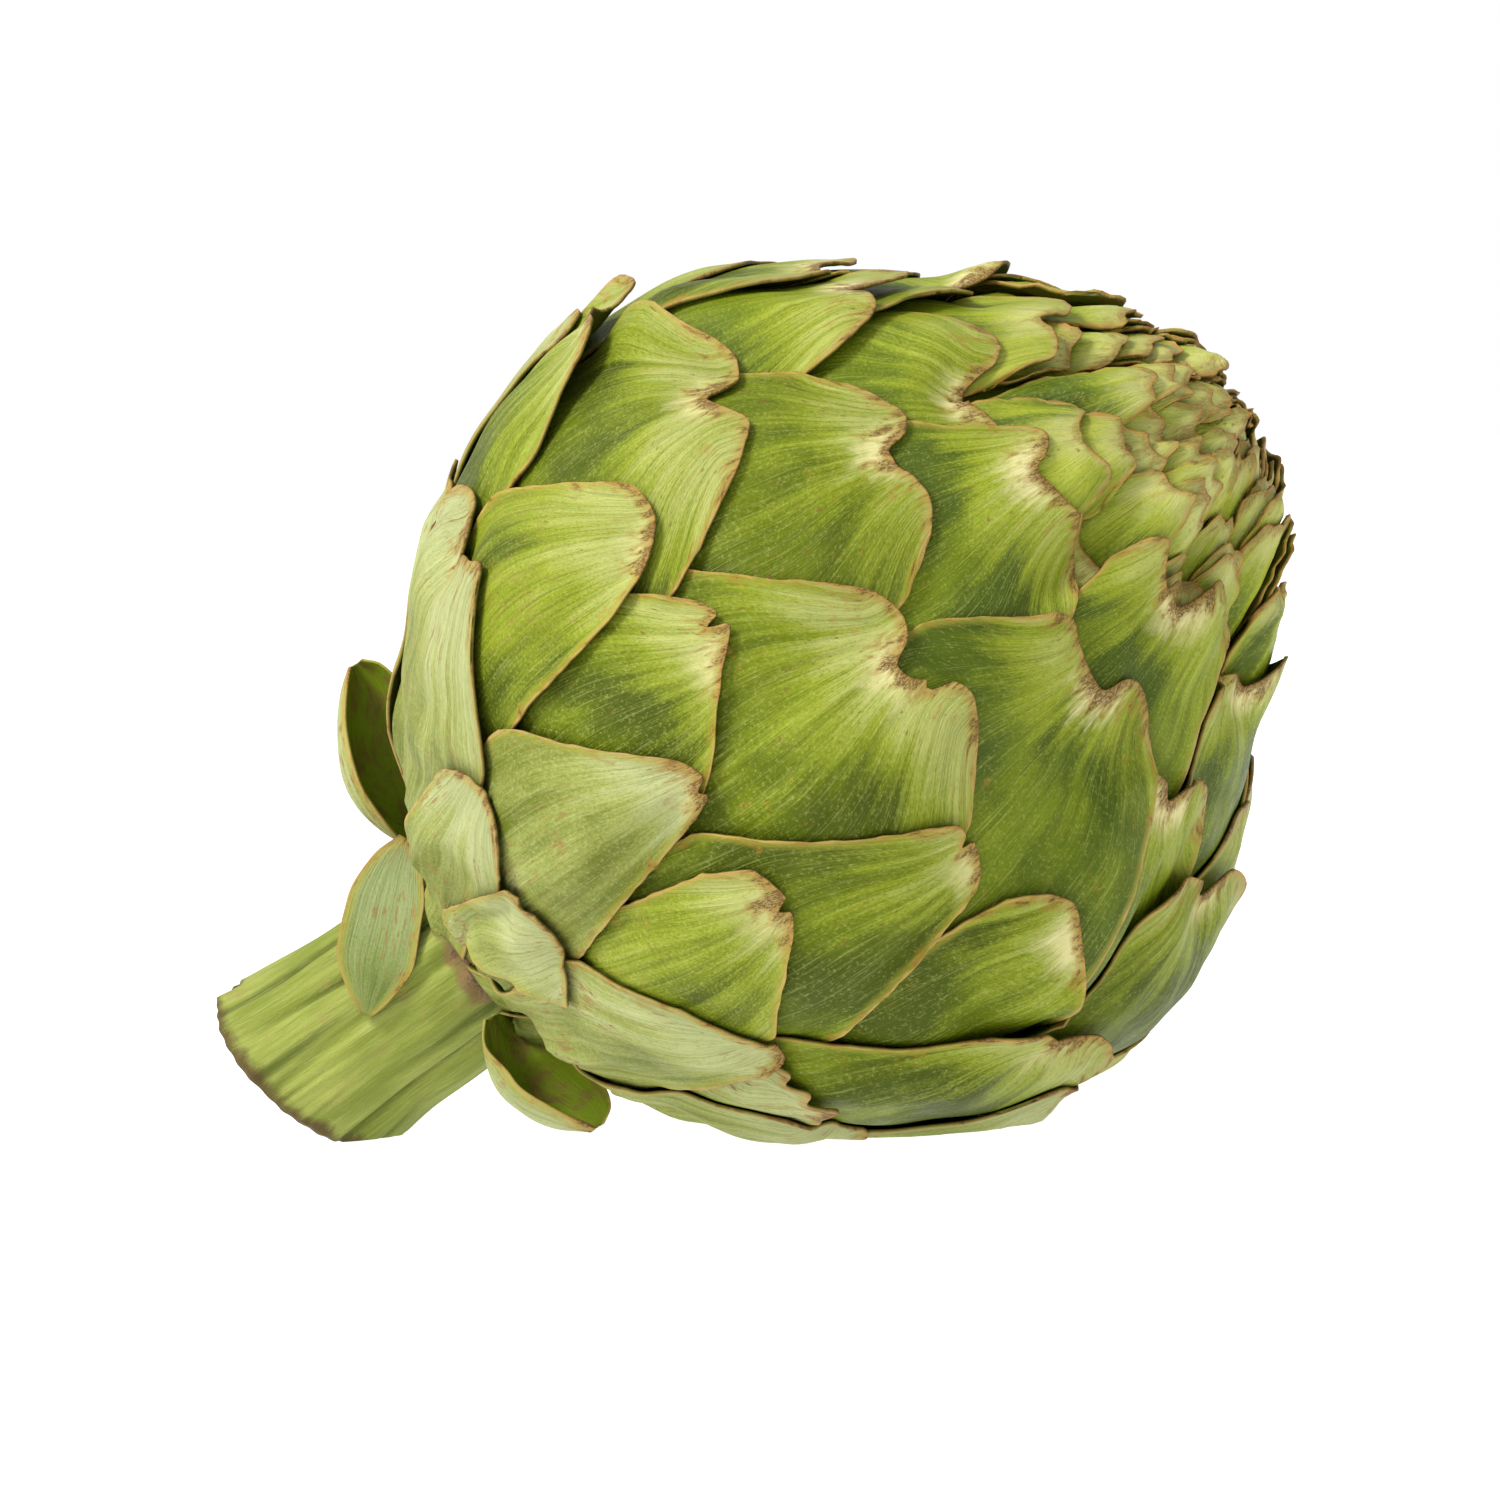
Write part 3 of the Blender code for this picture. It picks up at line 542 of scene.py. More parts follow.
# ---- materials ------------------------------------------------------------------
class Graph:
    def __init__(self, name):
        self.material = bpy.data.materials.new(name)
        self.material.use_nodes = True
        self.tree = self.material.node_tree
        self.tree.nodes.clear()
        self.out = self.tree.nodes.new("ShaderNodeOutputMaterial")
        self.bsdf = self.tree.nodes.new("ShaderNodeBsdfPrincipled")
        self.tree.links.new(self.bsdf.outputs[0], self.out.inputs[0])

    def link(self, value, socket):
        if isinstance(value, (int, float)):
            socket.default_value = value
        elif isinstance(value, tuple):
            socket.default_value = (*value, 1.0) if len(value) == 3 and len(socket.default_value) == 4 else value
        else:
            self.tree.links.new(value, socket)

    def attr(self, name):
        n = self.tree.nodes.new("ShaderNodeAttribute")
        n.attribute_name = name
        return n.outputs["Fac"]

    def math(self, op, a, b=0.0, c=None, clamp=False):
        n = self.tree.nodes.new("ShaderNodeMath")
        n.operation = op
        n.use_clamp = clamp
        self.link(a, n.inputs[0])
        self.link(b, n.inputs[1])
        if c is not None:
            self.link(c, n.inputs[2])
        return n.outputs[0]

    def ramp(self, value, lo, hi, a=0.0, b=1.0):
        n = self.tree.nodes.new("ShaderNodeMapRange")
        n.interpolation_type = "SMOOTHSTEP"
        for k, v in zip(("Value", "From Min", "From Max", "To Min", "To Max"), (value, lo, hi, a, b)):
            self.link(v, n.inputs[k])
        return n.outputs[0]

    def vector(self, x, y, z):
        n = self.tree.nodes.new("ShaderNodeCombineXYZ")
        for s, v in zip(n.inputs, (x, y, z)):
            self.link(v, s)
        return n.outputs[0]

    def scaled(self, vector, scale):
        n = self.tree.nodes.new("ShaderNodeVectorMath")
        n.operation = "MULTIPLY"
        self.link(vector, n.inputs[0])
        n.inputs[1].default_value = scale
        return n.outputs[0]

    def noise(self, vector, scale=1.0, detail=2.0, rough=0.5, warp=0.0):
        n = self.tree.nodes.new("ShaderNodeTexNoise")
        self.link(vector, n.inputs["Vector"])
        n.inputs["Scale"].default_value = scale
        n.inputs["Detail"].default_value = detail
        n.inputs["Roughness"].default_value = rough
        n.inputs["Distortion"].default_value = warp
        return n.outputs["Fac"]

    def mix(self, factor, a, b):
        n = self.tree.nodes.new("ShaderNodeMix")
        n.data_type = "RGBA"
        n.clamp_factor = True
        self.link(factor, n.inputs[0])
        self.link(a, n.inputs[6])
        self.link(b, n.inputs[7])
        return n.outputs[2]

    def bump(self, height, strength, distance, normal=None):
        n = self.tree.nodes.new("ShaderNodeBump")
        n.inputs["Strength"].default_value = strength
        n.inputs["Distance"].default_value = distance
        self.link(height, n.inputs["Height"])
        if normal is not None:
            self.link(normal, n.inputs["Normal"])
        return n.outputs[0]


def leaf_material(name, deep, fresh, pale, bloom, margin, inner, mottle=1.0, scab=1.0, cream=1.0, rim=1.0, small=1.0, shine=0.10, stain=(0.115, 0.075, 0.018)):
    """Bract skin: green flesh with fine fibres, a pale waxy bloom towards the
    tip, with painted shade that deepens the green towards each bract's foot,
    a thin dry tan margin, a cream patch where the fibres meet at the notch."""
    g = Graph(name)
    fibre, along, edge, notch, below, tone, face = (g.attr(k) for k in ("fibre", "along", "edge", "notch", "below", "tone", "face"))
    waxy = g.attr("bloom")
    place = g.vector(fibre, along, g.math("MULTIPLY", tone, 60.0))

    def off(noise, by):
        return g.math("MULTIPLY", g.math("SUBTRACT", noise, 0.5), by)
    broad = g.noise(g.scaled(place, (0.50, 0.020, 1)), 1.0, 3.0, 0.5, 0.12)
    streak = g.noise(g.scaled(place, (1.7, 0.040, 1)), 1.0, 4.0, 0.6, 0.08)
    fine = g.noise(g.scaled(place, (4.6, 0.13, 1)), 1.0, 3.0, 0.6, 0.06)
    cloud = g.noise(g.scaled(place, (0.085, 0.060, 1)), 1.0, 3.0, 0.5)
    patch = g.noise(g.scaled(place, (0.40, 0.30, 1)), 1.0, 4.0, 0.6, 0.4)
    grain = g.noise(g.scaled(place, (3.0, 2.5, 1)), 1.0, 4.0, 0.7)
    speck = g.noise(g.scaled(place, (1.3, 0.9, 1)), 1.0, 2.0, 0.5)

    green = g.mix(g.ramp(cloud, 0.38, 0.62), deep, fresh)
    # bloom: towards the tip, in long streaks, and more on the outer bracts. The fall from pale at the tip to deep green
    # at the foot is partly real bloom and partly painted shade, the foot darkened where the outer bracts overshadow it
    bloom_and_shade = g.math("ADD", g.ramp(below, 18.0, 0.0, 0.0, 0.98), g.math("MULTIPLY", waxy, 0.80))
    bloom_and_shade = g.math("ADD", bloom_and_shade, off(broad, 1.4))
    bloom_and_shade = g.math("ADD", bloom_and_shade, off(cloud, 1.5))
    bloom_and_shade = g.math("ADD", bloom_and_shade, off(tone, 0.25))
    bloom_and_shade = g.math("ADD", bloom_and_shade, off(grain, 0.60))
    colour = g.mix(g.ramp(bloom_and_shade, 0.12, 0.85), green, pale)
    colour = g.mix(g.ramp(bloom_and_shade, 0.65, 1.35, 0.0, 0.9), colour, bloom)
    # fibres
    colour = g.mix(g.ramp(streak, 0.56, 0.32, 0.0, 0.36), colour, deep)
    colour = g.mix(g.ramp(fine, 0.52, 0.74, 0.0, 0.28), colour, bloom)
    colour = g.mix(g.ramp(fine, 0.47, 0.28, 0.0, 0.26), colour, deep)
    colour = g.mix(g.ramp(grain, 0.52, 0.70, 0.0, 0.32), colour, bloom)
    colour = g.mix(g.ramp(grain, 0.48, 0.30, 0.0, 0.30), colour, deep)
    # cream patch at the notch, drawn out along the fibres
    reach = g.math("ADD", g.math("ADD", notch, off(streak, 5.0)), off(patch, 5.0))
    creamy = g.math("MULTIPLY", g.ramp(waxy, 0.10, 0.55, 1.0, 0.50), cream)
    colour = g.mix(g.math("MULTIPLY", g.ramp(reach, 4.4, 0.6, 0.0, 0.95), creamy), colour, (0.76, 0.70, 0.34))
    # the margin: a yellow band, then a thin dry tan line, broader round the tip
    line = g.math("ADD", g.math("ADD", edge, off(grain, 0.5 * rim)), off(patch, 1.1 * rim))
    colour = g.mix(g.ramp(line, 1.8 * rim, 0.4 * rim, 0.0, 0.60), colour, (0.33, 0.31, 0.035))
    tipward = g.math("ADD", g.math("ADD", edge, off(patch, 4.2 * rim)), g.ramp(below, 1.0 * small, 10.0 * small, 0.0, 3.0))
    colour = g.mix(g.ramp(tipward, 1.9 * rim, 0.3, 0.0, 0.65), colour, (0.42, 0.36, 0.11))
    colour = g.mix(g.ramp(line, 0.60 * rim, 0.15 * rim, 0.0, 0.90), colour, margin)
    worn = g.math("ADD", g.ramp(below, 8.0 * small, 0.0, 0.0, 0.12), g.ramp(edge, 2.4 * small, 0.1, 0.0, 0.13))
    worn = g.math("ADD", worn, g.ramp(notch, 5.0 * small, 0.6, 0.0, 0.13))
    dry = g.math("ADD", off(patch, 1.0), worn)
    rust = g.ramp(dry, 0.145, 0.28, 0.0, 0.70)
    colour = g.mix(g.math("MULTIPLY", g.math("MULTIPLY", rust, scab), g.ramp(grain, 0.36, 0.60, 0.35, 1.0)), colour, (0.36, 0.185, 0.034))
    brown = g.math("MULTIPLY", g.ramp(dry, 0.255, 0.34), g.ramp(grain, 0.40, 0.56, 0.12, 1.0))
    colour = g.mix(g.math("MULTIPLY", brown, 0.85 * scab), colour, (0.135, 0.056, 0.024))
    # red-brown scuffs along the fibres of the outer bracts
    fleck = g.noise(g.scaled(place, (1.9, 0.42, 1)), 1.0, 3.0, 0.6)
    scuffed = g.math("MULTIPLY", g.ramp(g.math("ADD", fleck, off(cloud, 0.55)), 0.565, 0.68, 0.0, 0.70), g.ramp(waxy, 0.40, 0.80))
    colour = g.mix(scuffed, colour, (0.275, 0.150, 0.050))
    # scattered dry specks
    spots = g.ramp(g.math("ADD", speck, off(cloud, 0.35)), 0.705, 0.775, 0.0, 0.65 * mottle)
    colour = g.mix(spots, colour, (0.17, 0.085, 0.025))
    inside = g.mix(g.ramp(patch, 0.42, 0.66), inner, stain)
    colour = g.mix(face, colour, inside)
    g.link(colour, g.bsdf.inputs["Base Color"])
    g.link(g.ramp(g.math("ADD", patch, g.math("MULTIPLY", waxy, 0.2)), 0.3, 0.8, 0.34, 0.55), g.bsdf.inputs["Roughness"])
    g.bsdf.inputs["Specular IOR Level"].default_value = shine
    n1 = g.bump(g.math("ADD", g.math("MULTIPLY", fine, 0.6), g.math("MULTIPLY", streak, 1.0)), 0.6, 0.00045)
    n2 = g.bump(grain, 0.45, 0.00028, n1)
    g.link(n2, g.bsdf.inputs["Normal"])
    return g.material


OUTER = leaf_material("outer_bract", (0.118, 0.145, 0.011), (0.188, 0.220, 0.026), (0.300, 0.335, 0.078), (0.460, 0.495, 0.225), (0.46, 0.31, 0.105), (0.090, 0.122, 0.009), mottle=1.3, cream=0.40, rim=0.75)
MIDDLE_BRACT = leaf_material("bract", (0.054, 0.078, 0.0003), (0.120, 0.163, 0.001), (0.250, 0.308, 0.015), (0.470, 0.500, 0.150), (0.49, 0.31, 0.090), (0.080, 0.118, 0.006), cream=0.88, rim=0.70, shine=0.12)
YOUNG = leaf_material("young_bract", (0.054, 0.088, 0.0003), (0.144, 0.198, 0.001), (0.280, 0.340, 0.015), (0.475, 0.510, 0.120), (0.47, 0.29, 0.075), (0.084, 0.118, 0.006), rim=0.65, shine=0.17)
BUD = leaf_material("bud", (0.066, 0.106, 0.0004), (0.175, 0.240, 0.002), (0.300, 0.362, 0.012), (0.440, 0.480, 0.060), (0.47, 0.25, 0.045), (0.095, 0.115, 0.006), scab=0.50, cream=0.40, rim=0.50, small=0.55, shine=0.28)
LOOSE = leaf_material("loose_bract", (0.120, 0.155, 0.018), (0.185, 0.220, 0.040), (0.310, 0.345, 0.105), (0.415, 0.445, 0.210), (0.42, 0.30, 0.09), (0.155, 0.215, 0.008), cream=0.0, rim=0.8, stain=(0.165, 0.130, 0.024))
LEAF = leaf_material("stem_leaf", (0.085, 0.125, 0.016), (0.150, 0.195, 0.038), (0.215, 0.265, 0.075), (0.300, 0.350, 0.150), (0.38, 0.28, 0.08), (0.15, 0.19, 0.05), mottle=1.4, cream=0.0, rim=0.8)


def stem_material():
    """Ribbed stalk: pale green ridges, darker furrows, a brown worn rim at the
    cut, pale pith on the cut face, a purple-brown scar at the joint."""
    g = Graph("stem")
    around, along, furrow, scar, below, cut = (g.attr(k) for k in ("fibre", "along", "edge", "notch", "below", "face"))
    place = g.vector(around, along, 0.0)
    broad = g.noise(g.scaled(place, (0.30, 0.035, 1)), 1.0, 3.0, 0.55, 0.5)
    streak = g.noise(g.scaled(place, (1.6, 0.06, 1)), 1.0, 4.0, 0.6, 0.2)
    fine = g.noise(g.scaled(place, (5.0, 0.25, 1)), 1.0, 3.0, 0.6)
    patch = g.noise(g.scaled(place, (0.28, 0.22, 1)), 1.0, 4.0, 0.6, 0.6)
    grain = g.noise(g.scaled(place, (2.2, 2.0, 1)), 1.0, 4.0, 0.65)
    green = g.mix(g.ramp(broad, 0.35, 0.65), (0.195, 0.238, 0.026), (0.315, 0.355, 0.072))
    colour = g.mix(g.ramp(furrow, 0.85, 0.15, 0.0, 0.90), green, (0.080, 0.108, 0.006))
    colour = g.mix(g.ramp(streak, 0.56, 0.32, 0.0, 0.42), colour, (0.165, 0.200, 0.024))
    colour = g.mix(g.ramp(streak, 0.54, 0.74, 0.0, 0.40), colour, (0.400, 0.430, 0.130))
    colour = g.mix(g.ramp(fine, 0.50, 0.74, 0.0, 0.30), colour, (0.420, 0.445, 0.160))
    colour = g.mix(g.ramp(fine, 0.46, 0.28, 0.0, 0.28), colour, (0.165, 0.200, 0.024))
    colour = g.mix(g.ramp(patch, 0.58, 0.74, 0.0, 0.50), colour, (0.30, 0.235, 0.070))
    # dirt in the furrows and dry specks
    colour = g.mix(g.ramp(grain, 0.66, 0.76, 0.0, 0.5), colour, (0.16, 0.11, 0.04))
    worn = g.math("ADD", below, g.math("MULTIPLY", g.math("SUBTRACT", patch, 0.5), 5.0))
    colour = g.mix(g.ramp(worn, 2.6, 0.5, 0.0, 0.92), colour, (0.085, 0.050, 0.014))
    healed = g.math("ADD", scar, g.math("MULTIPLY", g.math("SUBTRACT", patch, 0.5), 1.5))
    colour = g.mix(g.ramp(healed, 0.35, 0.75, 0.0, 0.88), colour, (0.21, 0.125, 0.050))
    colour = g.mix(g.ramp(g.math("ADD", healed, g.math("MULTIPLY", g.math("SUBTRACT", grain, 0.5), 1.2)), 0.85, 1.2, 0.0, 0.8), colour, (0.085, 0.035, 0.028))
    pith = g.mix(g.ramp(grain, 0.35, 0.65), (0.30, 0.27, 0.12), (0.42, 0.39, 0.20))
    pith = g.mix(g.ramp(below, 2.2, 0.2, 0.0, 0.85), pith, (0.12, 0.075, 0.026))
    colour = g.mix(g.ramp(cut, 0.4, 0.6), colour, pith)
    g.link(colour, g.bsdf.inputs["Base Color"])
    g.link(g.ramp(broad, 0.3, 0.7, 0.46, 0.62), g.bsdf.inputs["Roughness"])
    g.bsdf.inputs["Specular IOR Level"].default_value = 0.20
    n1 = g.bump(g.math("ADD", fine, streak), 0.6, 0.0004)
    g.link(g.bump(grain, 0.4, 0.0003, n1), g.bsdf.inputs["Normal"])
    return g.material


STEM = stem_material()


# ---- the stem and the heart ----------------------------------------------------
STEM_LENGTH, CUT_SLOPE = 34.3, math.tan(math.radians(12.0))


def build_stem():
    rng = np.random.default_rng(77)
    around = 360
    ph = np.linspace(0, 2 * math.pi, around, endpoint=False)
    # broad facets, with narrow furrows of uneven depth that wander a little
    facets = (0.30 * np.sin(5 * ph + 0.6) + 0.24 * np.sin(8 * ph + 2.1) + 0.17 * np.sin(13 * ph + 4.4) + 0.12 * np.sin(19 * ph + 1.0)
              + 0.07 * np.sin(31 * ph + 0.3))
    furrows = []
    at = 0.1
    while at < 2 * math.pi - 0.12:
        furrows.append((at, rng.uniform(0.36, 0.90), rng.uniform(0.32, 0.95), rng.uniform(0, 6.28), rng.uniform(-0.10, 0.10)))
        at += rng.uniform(0.13, 0.36)

    rows = []          # (kind, station 0..1)
    stem_rows = 66
    points, facts = [], {k: [] for k in NAMES}
    body = curve([(0, 13.3), (0.10, 12.9), (0.4, 12.2), (0.75, 12.0), (0.92, 12.3), (1, 13.0)])

    def put(p, **f):
        points.append(p)
        for k in NAMES:
            facts[k].append(np.broadcast_to(np.asarray(f.get(k, 0.0), float), (around,)))

    def cut_z(x):
        return -STEM_LENGTH + CUT_SLOPE * x

    # the cut face, from its middle to its rim
    for q in (0.02, 0.25, 0.45, 0.62, 0.76, 0.87, 0.94):
        r = 11.6 * q * (1 + 0.012 * np.sin(5 * ph))
        x, y = r * np.cos(ph), r * np.sin(ph)
        dish = -0.35 * (1 - q * q) + 0.10 * np.sin(3 * x + 1) * np.cos(2.2 * y)
        put(np.stack([x, y, cut_z(x) - dish * 0.8], -1), fibre=ph * 12, along=0.0, edge=0.5, below=(1 - q) * 11.6, face=1.0)
    for k in range(stem_rows):
        t = k / (stem_rows - 1)
        t = t ** 1.1
        fade = smooth(t, 0, 0.03) * smooth(t, 1.0, 0.86)
        dips, wave = np.zeros(around), np.ones(around)
        for az0, half, deep_by, start, drift in furrows:
            line = az0 + drift * (t - 0.5) + 0.02 * math.sin(5 * t + start)
            away = (ph - line + math.pi) % (2 * math.pi) - math.pi
            dip = np.exp(-(away * 12 / half) ** 2) * (0.55 + 0.45 * math.sin(3.1 * t + start))
            dips += deep_by * dip
            wave = np.minimum(wave, 1 - dip * min(1.0, deep_by * 2.6))
        r = body(t) + (facets * 1.05 - dips) * (0.35 + 0.65 * fade) + 0.05
        r = r + 0.22 * np.sin(3 * ph + 1) + 0.12 * np.sin(2 * math.pi * 2.3 * t + 2 * ph) + 0.05 * np.sin(17 * t + 9 * ph)
        worn = -0.55 * smooth(t, 0.022, 0.0) + 0.12 * np.sin(31 * ph) * smooth(t, 0.05, 0)
        # the scar where leaves came away just under the head
        scarred = smooth(t, 0.82, 0.95) * (0.55 + 0.45 * np.sin(3 * ph + 5.2)) + smooth(t, 0.95, 1.0) * 0.5
        r = r + worn + scarred * (0.35 * np.sin(11 * ph + 9 * t) + 0.3 * np.sin(23 * ph + 31 * t))
        x, y = r * np.cos(ph), r * np.sin(ph)
        low = cut_z(x)
        z = low * (1 - t) + (-0.6) * t
        put(np.stack([x, y, z], -1), fibre=ph * 12, along=z + 40, edge=wave, below=(z - low), notch=scarred, face=0.0)
    # the heart's flank, under the lowest bracts
    for z, r0 in ((0.6, 14.2), (1.8, 16.2), (3.2, 18.2), (5.0, 20.6), (7.0, 22.6), (9.0, 24.2), (11.0, 24.2), (12.6, 21.0), (13.0, 14.0), (13.0, 6.0), (13.0, 0.3)):
        r = r0 + (0.3 * np.sin(13 * ph + z) + 0.25 * np.sin(29 * ph + 2 * z)) * (r0 > 7)
        put(np.stack([r * np.cos(ph), r * np.sin(ph), np.full_like(ph, z)], -1), fibre=ph * 12, along=z + 40, edge=0.5, below=30.0,
            notch=1.15 if z < 4 else 0.5, face=0.0)
    grid = np.stack(points)
    rows = len(grid)
    idx = np.arange(rows * around).reshape(rows, around)
    quads = np.stack([idx[:-1], np.roll(idx, -1, 1)[:-1], np.roll(idx, -1, 1)[1:], idx[1:]], -1).reshape(-1, 4)
    flat = grid.reshape(-1, 3)
    # close both small end rings with a fan of quads
    ends = []
    for ring, flip in ((idx[0], True), (idx[-1], False)):
        middle = len(flat)
        flat = np.vstack([flat, flat[ring].mean(axis=0)])
        for k in facts:
            facts[k].append(np.array([facts[k][0 if flip else -1][0]]) if flip else np.array([facts[k][rows - 1][0]]))
        for a in range(0, around, 2):
            q = [middle, ring[a], ring[(a + 1) % around], ring[(a + 2) % around]]
            ends.append(q[::-1] if flip else q)
    quads = np.vstack([quads, np.array(ends)])
    n = np.cross(flat[quads[:, 1]] - flat[quads[:, 0]], flat[quads[:, 2]] - flat[quads[:, 0]])
    if (flat[quads].mean(axis=1) * n).sum() < 0:
        quads = quads[:, ::-1]
    solid = Solid()
    solid.points.append(flat)
    solid.quads.append(quads)
    for k in NAMES:
        solid.facts[k] = [np.concatenate([np.ravel(a) for a in facts[k]])]
    solid.count = len(flat)
    return solid.finish("stem_and_heart.look", STEM)


# ---- the loose bracts and the leaf on the stem ---------------------------------
def free_blade(name, place, cols, rows, thick, material, width, length, bloom, tone, pointed=1.0):
    """A free leaf: place(u, v) gives its middle surface."""
    ramp = np.linspace(-1, 1, cols)
    u = np.concatenate([ramp[:1], [ramp[0] + 0.25 * (ramp[1] - ramp[0])], ramp[1:-1], [ramp[-1] - 0.25 * (ramp[1] - ramp[0])], ramp[-1:]])
    v = spaced(rows, 0.2)
    U, V = np.meshgrid(u, v)
    mid = place(U, V)
    du = np.gradient(mid, axis=1)
    dv = np.gradient(mid, axis=0)
    nrm = np.cross(du, dv)
    nrm /= np.maximum(np.linalg.norm(nrm, axis=-1, keepdims=True), 1e-9)
    span = width(V)
    edge = np.minimum((1 - np.abs(U)) * span, (1 - V) * length * pointed)
    t = thick * (0.45 + 0.55 * smooth(edge, 0, 3))[..., None]
    outer, inner = mid + nrm * t * 0.5, mid - nrm * t * 0.5
    solid = Solid()
    facts = dict(fibre=U * span.max(), along=V * length, edge=edge, notch=99.0, below=(1 - V) * length, tone=tone, face=0.0, bloom=bloom)
    solid.blade(outer, inner, facts)
    return solid.finish(name, material)


def radial(az_deg):
    a = np.radians(az_deg)
    a = np.asarray(a, float)
    zero = np.zeros_like(a)
    return np.stack([np.cos(a), np.sin(a), zero], -1), np.stack([-np.sin(a), np.cos(a), zero], -1)


def build_loose():
    up = np.array([0, 0, 1.0])
    made = {}

    def cupped(name, base, tip, half, sag, lean, shape, taller, length, tone):
        """A bract that came away: flat at its base, then cupped, its hollow
        turned sideways by lean. taller makes one wall of the cup higher."""
        base, tip = np.array(base, float), np.array(tip, float)
        run = (tip - base) * np.array([1, 1, 0])
        run /= np.linalg.norm(run)
        level = np.array([-run[1], run[0], 0])
        base = base - run * 1.1

        def place(u, v):
            grown = smooth(v, 0, 0.42)
            turn = np.radians(lean) * grown
            cup = (0.15 + 0.95 * grown)
            here = base + (tip - base) * v[..., None] - up * (sag * np.sin(math.pi * v))[..., None]
            w = half * shape(v)
            lateral = u * w * np.cos(cup * np.abs(u) * 0.9)
            rise = w * np.sin(cup) * np.abs(u) ** 1.9 * (1 + taller * u) + 0.22 * np.sin(7 * v + 4 * u) + 0.12 * np.sin(17 * v - 9 * u)
            side = level * np.cos(turn)[..., None] + up * np.sin(turn)[..., None]
            top = up * np.cos(turn)[..., None] - level * np.sin(turn)[..., None]
            return here + side * lateral[..., None] + top * rise[..., None]
        made[name] = free_blade(f"{name}.look", place, 30, 40, 0.7, LOOSE, lambda v: half * shape(v), length, 0.9, tone)

    cupped("loose_bract_upper", (-12.3, -2.2, -2.6), (-35.4, -6.2, 1.6), 8.4, 4.6, -36, curve([(0, 0.42), (0.25, 0.80), (0.5, 1.0), (0.78, 0.84), (0.93, 0.50), (1.0, 0.16)]), -0.12, 24, 0.35)
    cupped("loose_bract_lower", (10.6, -10.3, -3.2), (27.0, -8.2, -0.2), 7.6, 4.4, 20, curve([(0, 0.42), (0.25, 0.82), (0.5, 1.0), (0.78, 0.84), (0.93, 0.52), (1.0, 0.18)]), 0.12, 20, 0.8)

    shape = curve([(0, 0.8), (0.1, 2.4), (0.38, 4.9), (0.65, 4.8), (0.88, 2.9), (1.0, 0.4)])
    across = radial(-80)[1] * 0.68 + up * 0.73
    across = across / np.linalg.norm(across)

    def leaf(u, v):
        out, _ = radial(-84 - 58 * v)
        # the right margin lies on the stem and the left one stands off it
        r = 12.75 + 2.4 * v + 2.0 * v * v + 0.35 * smooth(-u, -0.3, 1.0) * v + 0.12 * np.sin(9 * v + 2 * u)
        z = -16.4 + 15.2 * v
        cup = 0.35 * np.abs(u) ** 2 * (0.3 + v)
        return out * (r + cup)[..., None] + up * z[..., None] + across * (u * shape(v))[..., None]

    made["stem_leaf"] = free_blade("stem_leaf.look", leaf, 26, 40, 0.55, LEAF, shape, 22, 0.9, 0.5)
    return made


# ---- build ------------------------------------------------------------------------
pieces = {}
bud = Solid()

# the heart of the bud, closed, under the youngest bracts
theta = np.concatenate([np.linspace(0.004, 1.15, 26), [1.2, 1.35, 1.7, 2.1, 2.6, 3.0]])
rho = head_rho(theta) - core_depth(theta) - 0.25
rho[26:] = [30, 22, 16, 14, 16, 20]
phi = np.linspace(0, 2 * math.pi, 72, endpoint=False)
T, F = np.meshgrid(theta, phi, indexing="ij")
core = np.stack([rho[:, None] * np.sin(T) * np.cos(F), rho[:, None] * np.sin(T) * np.sin(F), rho[:, None] * np.cos(T) + MIDDLE], -1)
idx = np.arange(core.shape[0] * 72).reshape(core.shape[0], 72)
quads = np.stack([idx[:-1], idx[1:], np.roll(idx, -1, 1)[1:], np.roll(idx, -1, 1)[:-1]], -1).reshape(-1, 4)
flat = core.reshape(-1, 3)
for ring, flip in ((idx[0], True), (idx[-1], False)):
    middle = len(flat)
    flat = np.vstack([flat, flat[ring].mean(axis=0)])
    fan = [[middle, ring[a], ring[(a + 1) % 72], ring[(a + 2) % 72]] for a in range(0, 72, 2)]
    quads = np.vstack([quads, np.array(fan)[:, ::-1] if not flip else np.array(fan)])
n_ = np.cross(flat[quads[:, 1]] - flat[quads[:, 0]], flat[quads[:, 2]] - flat[quads[:, 0]])
if ((flat[quads].mean(axis=1) - flat.mean(axis=0)) * n_).sum() < 0:
    quads = quads[:, ::-1]
bud.add(flat, quads, dict(fibre=np.arange(len(flat)) % 72 * 1.0, along=30.0, edge=5.0, notch=99.0, below=25.0, tone=0.3, face=0.0, bloom=0.0))

for number in range(LAST_YOUNG, LAST_LARGE, -1):
    bract(bud, number, 18, 20)
for number in range(LAST_LARGE, LAST_BRACT, -1):
    bract(bud, number, 34, 38)

single = {}
for number in range(LAST_BRACT, FIRST_BRACT - 1, -1):
    single[number] = Solid()
    bract(single[number], number, 44, 52)

SETTLE = settle_field()
pieces["inner_bud"] = bud.finish("inner_bud.look", BUD, SETTLE)
for number, one in single.items():
    node = f"bract_{number + 2:02d}"
    slot, material = (("outer_bract", OUTER) if number + 2 <= 18 else ("bract", MIDDLE_BRACT) if number + 2 <= 40 else ("young_bract", YOUNG))
    pieces[node] = one.finish(f"{node}.look", material, SETTLE)

pieces["stem_and_heart"] = build_stem()
pieces.update(build_loose())

for node, piece in pieces.items():
    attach(piece, "root")
    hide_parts(node)


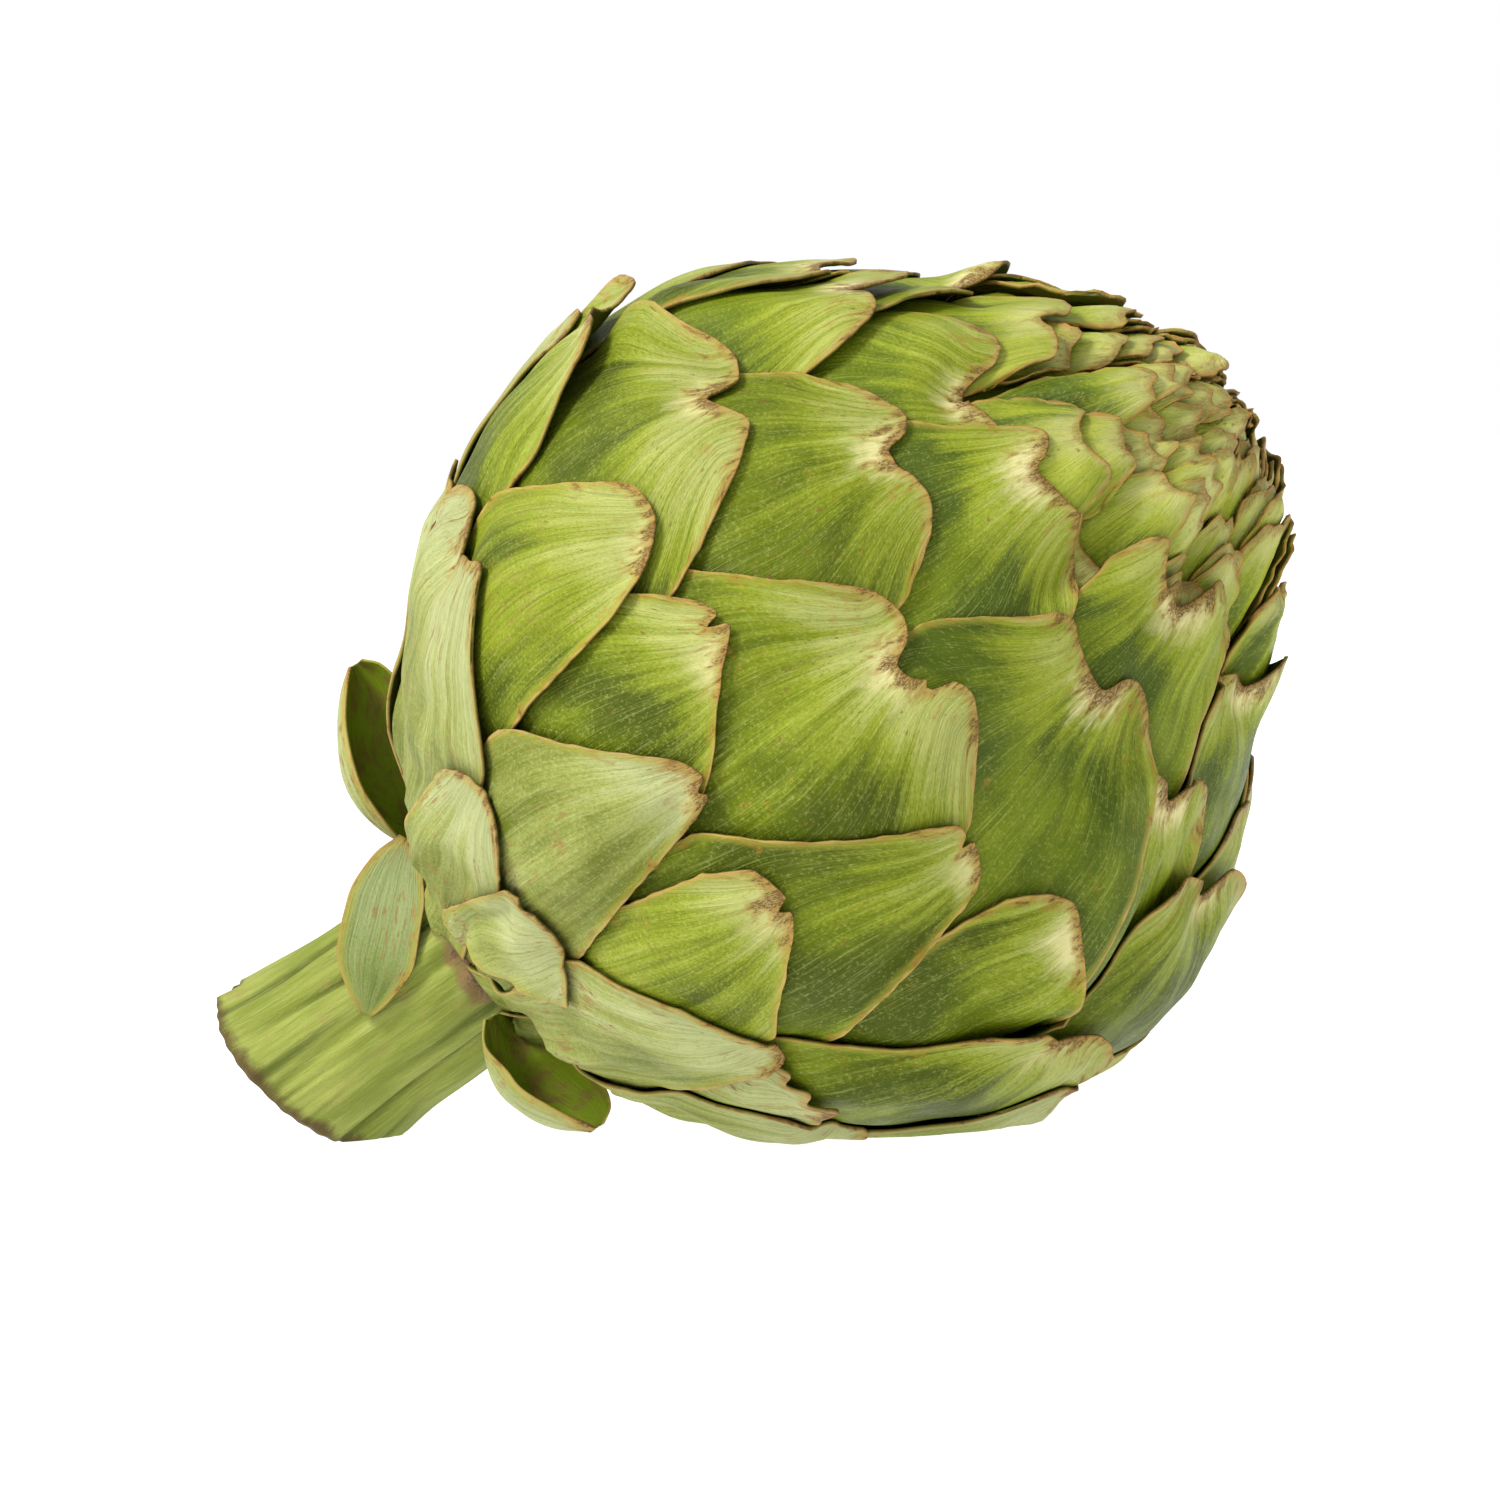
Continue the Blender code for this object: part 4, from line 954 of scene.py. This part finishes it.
# ---- floor, light and camera -----------------------------------------------------
def stage():
    scene = bpy.context.scene
    scene.view_settings.view_transform = "Standard"
    scene.view_settings.look = "None"
    mesh = bpy.data.meshes.new("floor")
    s = 6.0
    mesh.from_pydata([(-s, -s, 0), (s, -s, 0), (s, s, 0), (-s, s, 0)], [], [(0, 1, 2, 3)])
    floor = bpy.data.objects.new("floor", mesh)
    floor.location.z = -0.0001
    scene.collection.objects.link(floor)
    g = Graph("floor")
    g.bsdf.inputs["Base Color"].default_value = (0.38, 0.38, 0.38, 1)
    g.bsdf.inputs["Roughness"].default_value = 0.9
    g.bsdf.inputs["Specular IOR Level"].default_value = 0.1
    g.bsdf.inputs["Emission Color"].default_value = (1, 1, 1, 1)
    g.bsdf.inputs["Emission Strength"].default_value = 1.0
    mesh.materials.append(g.material)

    world = bpy.data.worlds.new("studio")
    scene.world = world
    world.use_nodes = True
    # a white backdrop that gives a softer light than it shows
    tree = world.node_tree
    shown = tree.nodes["Background"]
    shown.inputs[0].default_value, shown.inputs[1].default_value = (1, 1, 1, 1), 1.0
    soft = tree.nodes.new("ShaderNodeBackground")
    soft.inputs[0].default_value, soft.inputs[1].default_value = (1, 1, 1, 1), 0.72
    rays = tree.nodes.new("ShaderNodeLightPath")
    either = tree.nodes.new("ShaderNodeMixShader")
    tree.links.new(rays.outputs["Is Camera Ray"], either.inputs[0])
    tree.links.new(soft.outputs[0], either.inputs[1])
    tree.links.new(shown.outputs[0], either.inputs[2])
    tree.links.new(either.outputs[0], tree.nodes["World Output"].inputs[0])

    def area(name, at, to, size, power, colour=(1, 1, 1)):
        data = bpy.data.lights.new(name, "AREA")
        data.shape = "DISK"
        data.size = size
        data.energy = power
        data.color = colour
        obj = bpy.data.objects.new(name, data)
        obj.location = at
        obj.rotation_euler = (Vector(to) - Vector(at)).to_track_quat("-Z", "Y").to_euler()
        scene.collection.objects.link(obj)

    middle = (0.01, 0.0, 0.05)
    area("key", (-0.46, -0.66, 0.88), middle, 0.42, 14.2, (1.0, 0.985, 0.95))


def camera():
    th, al = math.radians(24), math.radians(34.5)
    e = math.radians(3.0)
    az = math.asin((math.sin(th) - math.sin(e) * ST) / (CT * math.cos(e)))
    axis = np.array([CT, 0, ST])
    right0 = np.array([math.cos(az), math.sin(az), 0])
    back = np.array([math.sin(az) * math.cos(e), -math.cos(az) * math.cos(e), math.sin(e)])
    up0 = np.cross(back, right0)
    roll = al - math.atan2(axis @ up0, axis @ right0)
    right = math.cos(roll) * right0 - math.sin(roll) * up0
    up = math.sin(roll) * right0 + math.cos(roll) * up0
    lens, sensor = 150.0, 36.0
    focal = lens / sensor * 1500
    dist = focal / 8.7
    ref = np.array([0, 0, 57.1]) @ LAY.T + ROOT
    dx, dy = (880 - 750) / focal * dist, -(672 - 750) / focal * dist
    at = ref + back * dist - right * dx - up * dy
    data = bpy.data.cameras.new("camera")
    data.lens, data.sensor_width = lens, sensor
    data.clip_start, data.clip_end = 0.02, 20.0
    obj = bpy.data.objects.new("camera", data)
    m = Matrix.Identity(4)
    for k in range(3):
        m[k][0], m[k][1], m[k][2], m[k][3] = right[k], up[k], back[k], at[k] * MM
    obj.matrix_world = m
    bpy.context.scene.collection.objects.link(obj)
    bpy.context.scene.camera = obj


stage()
camera()
bpy.context.view_layer.update()
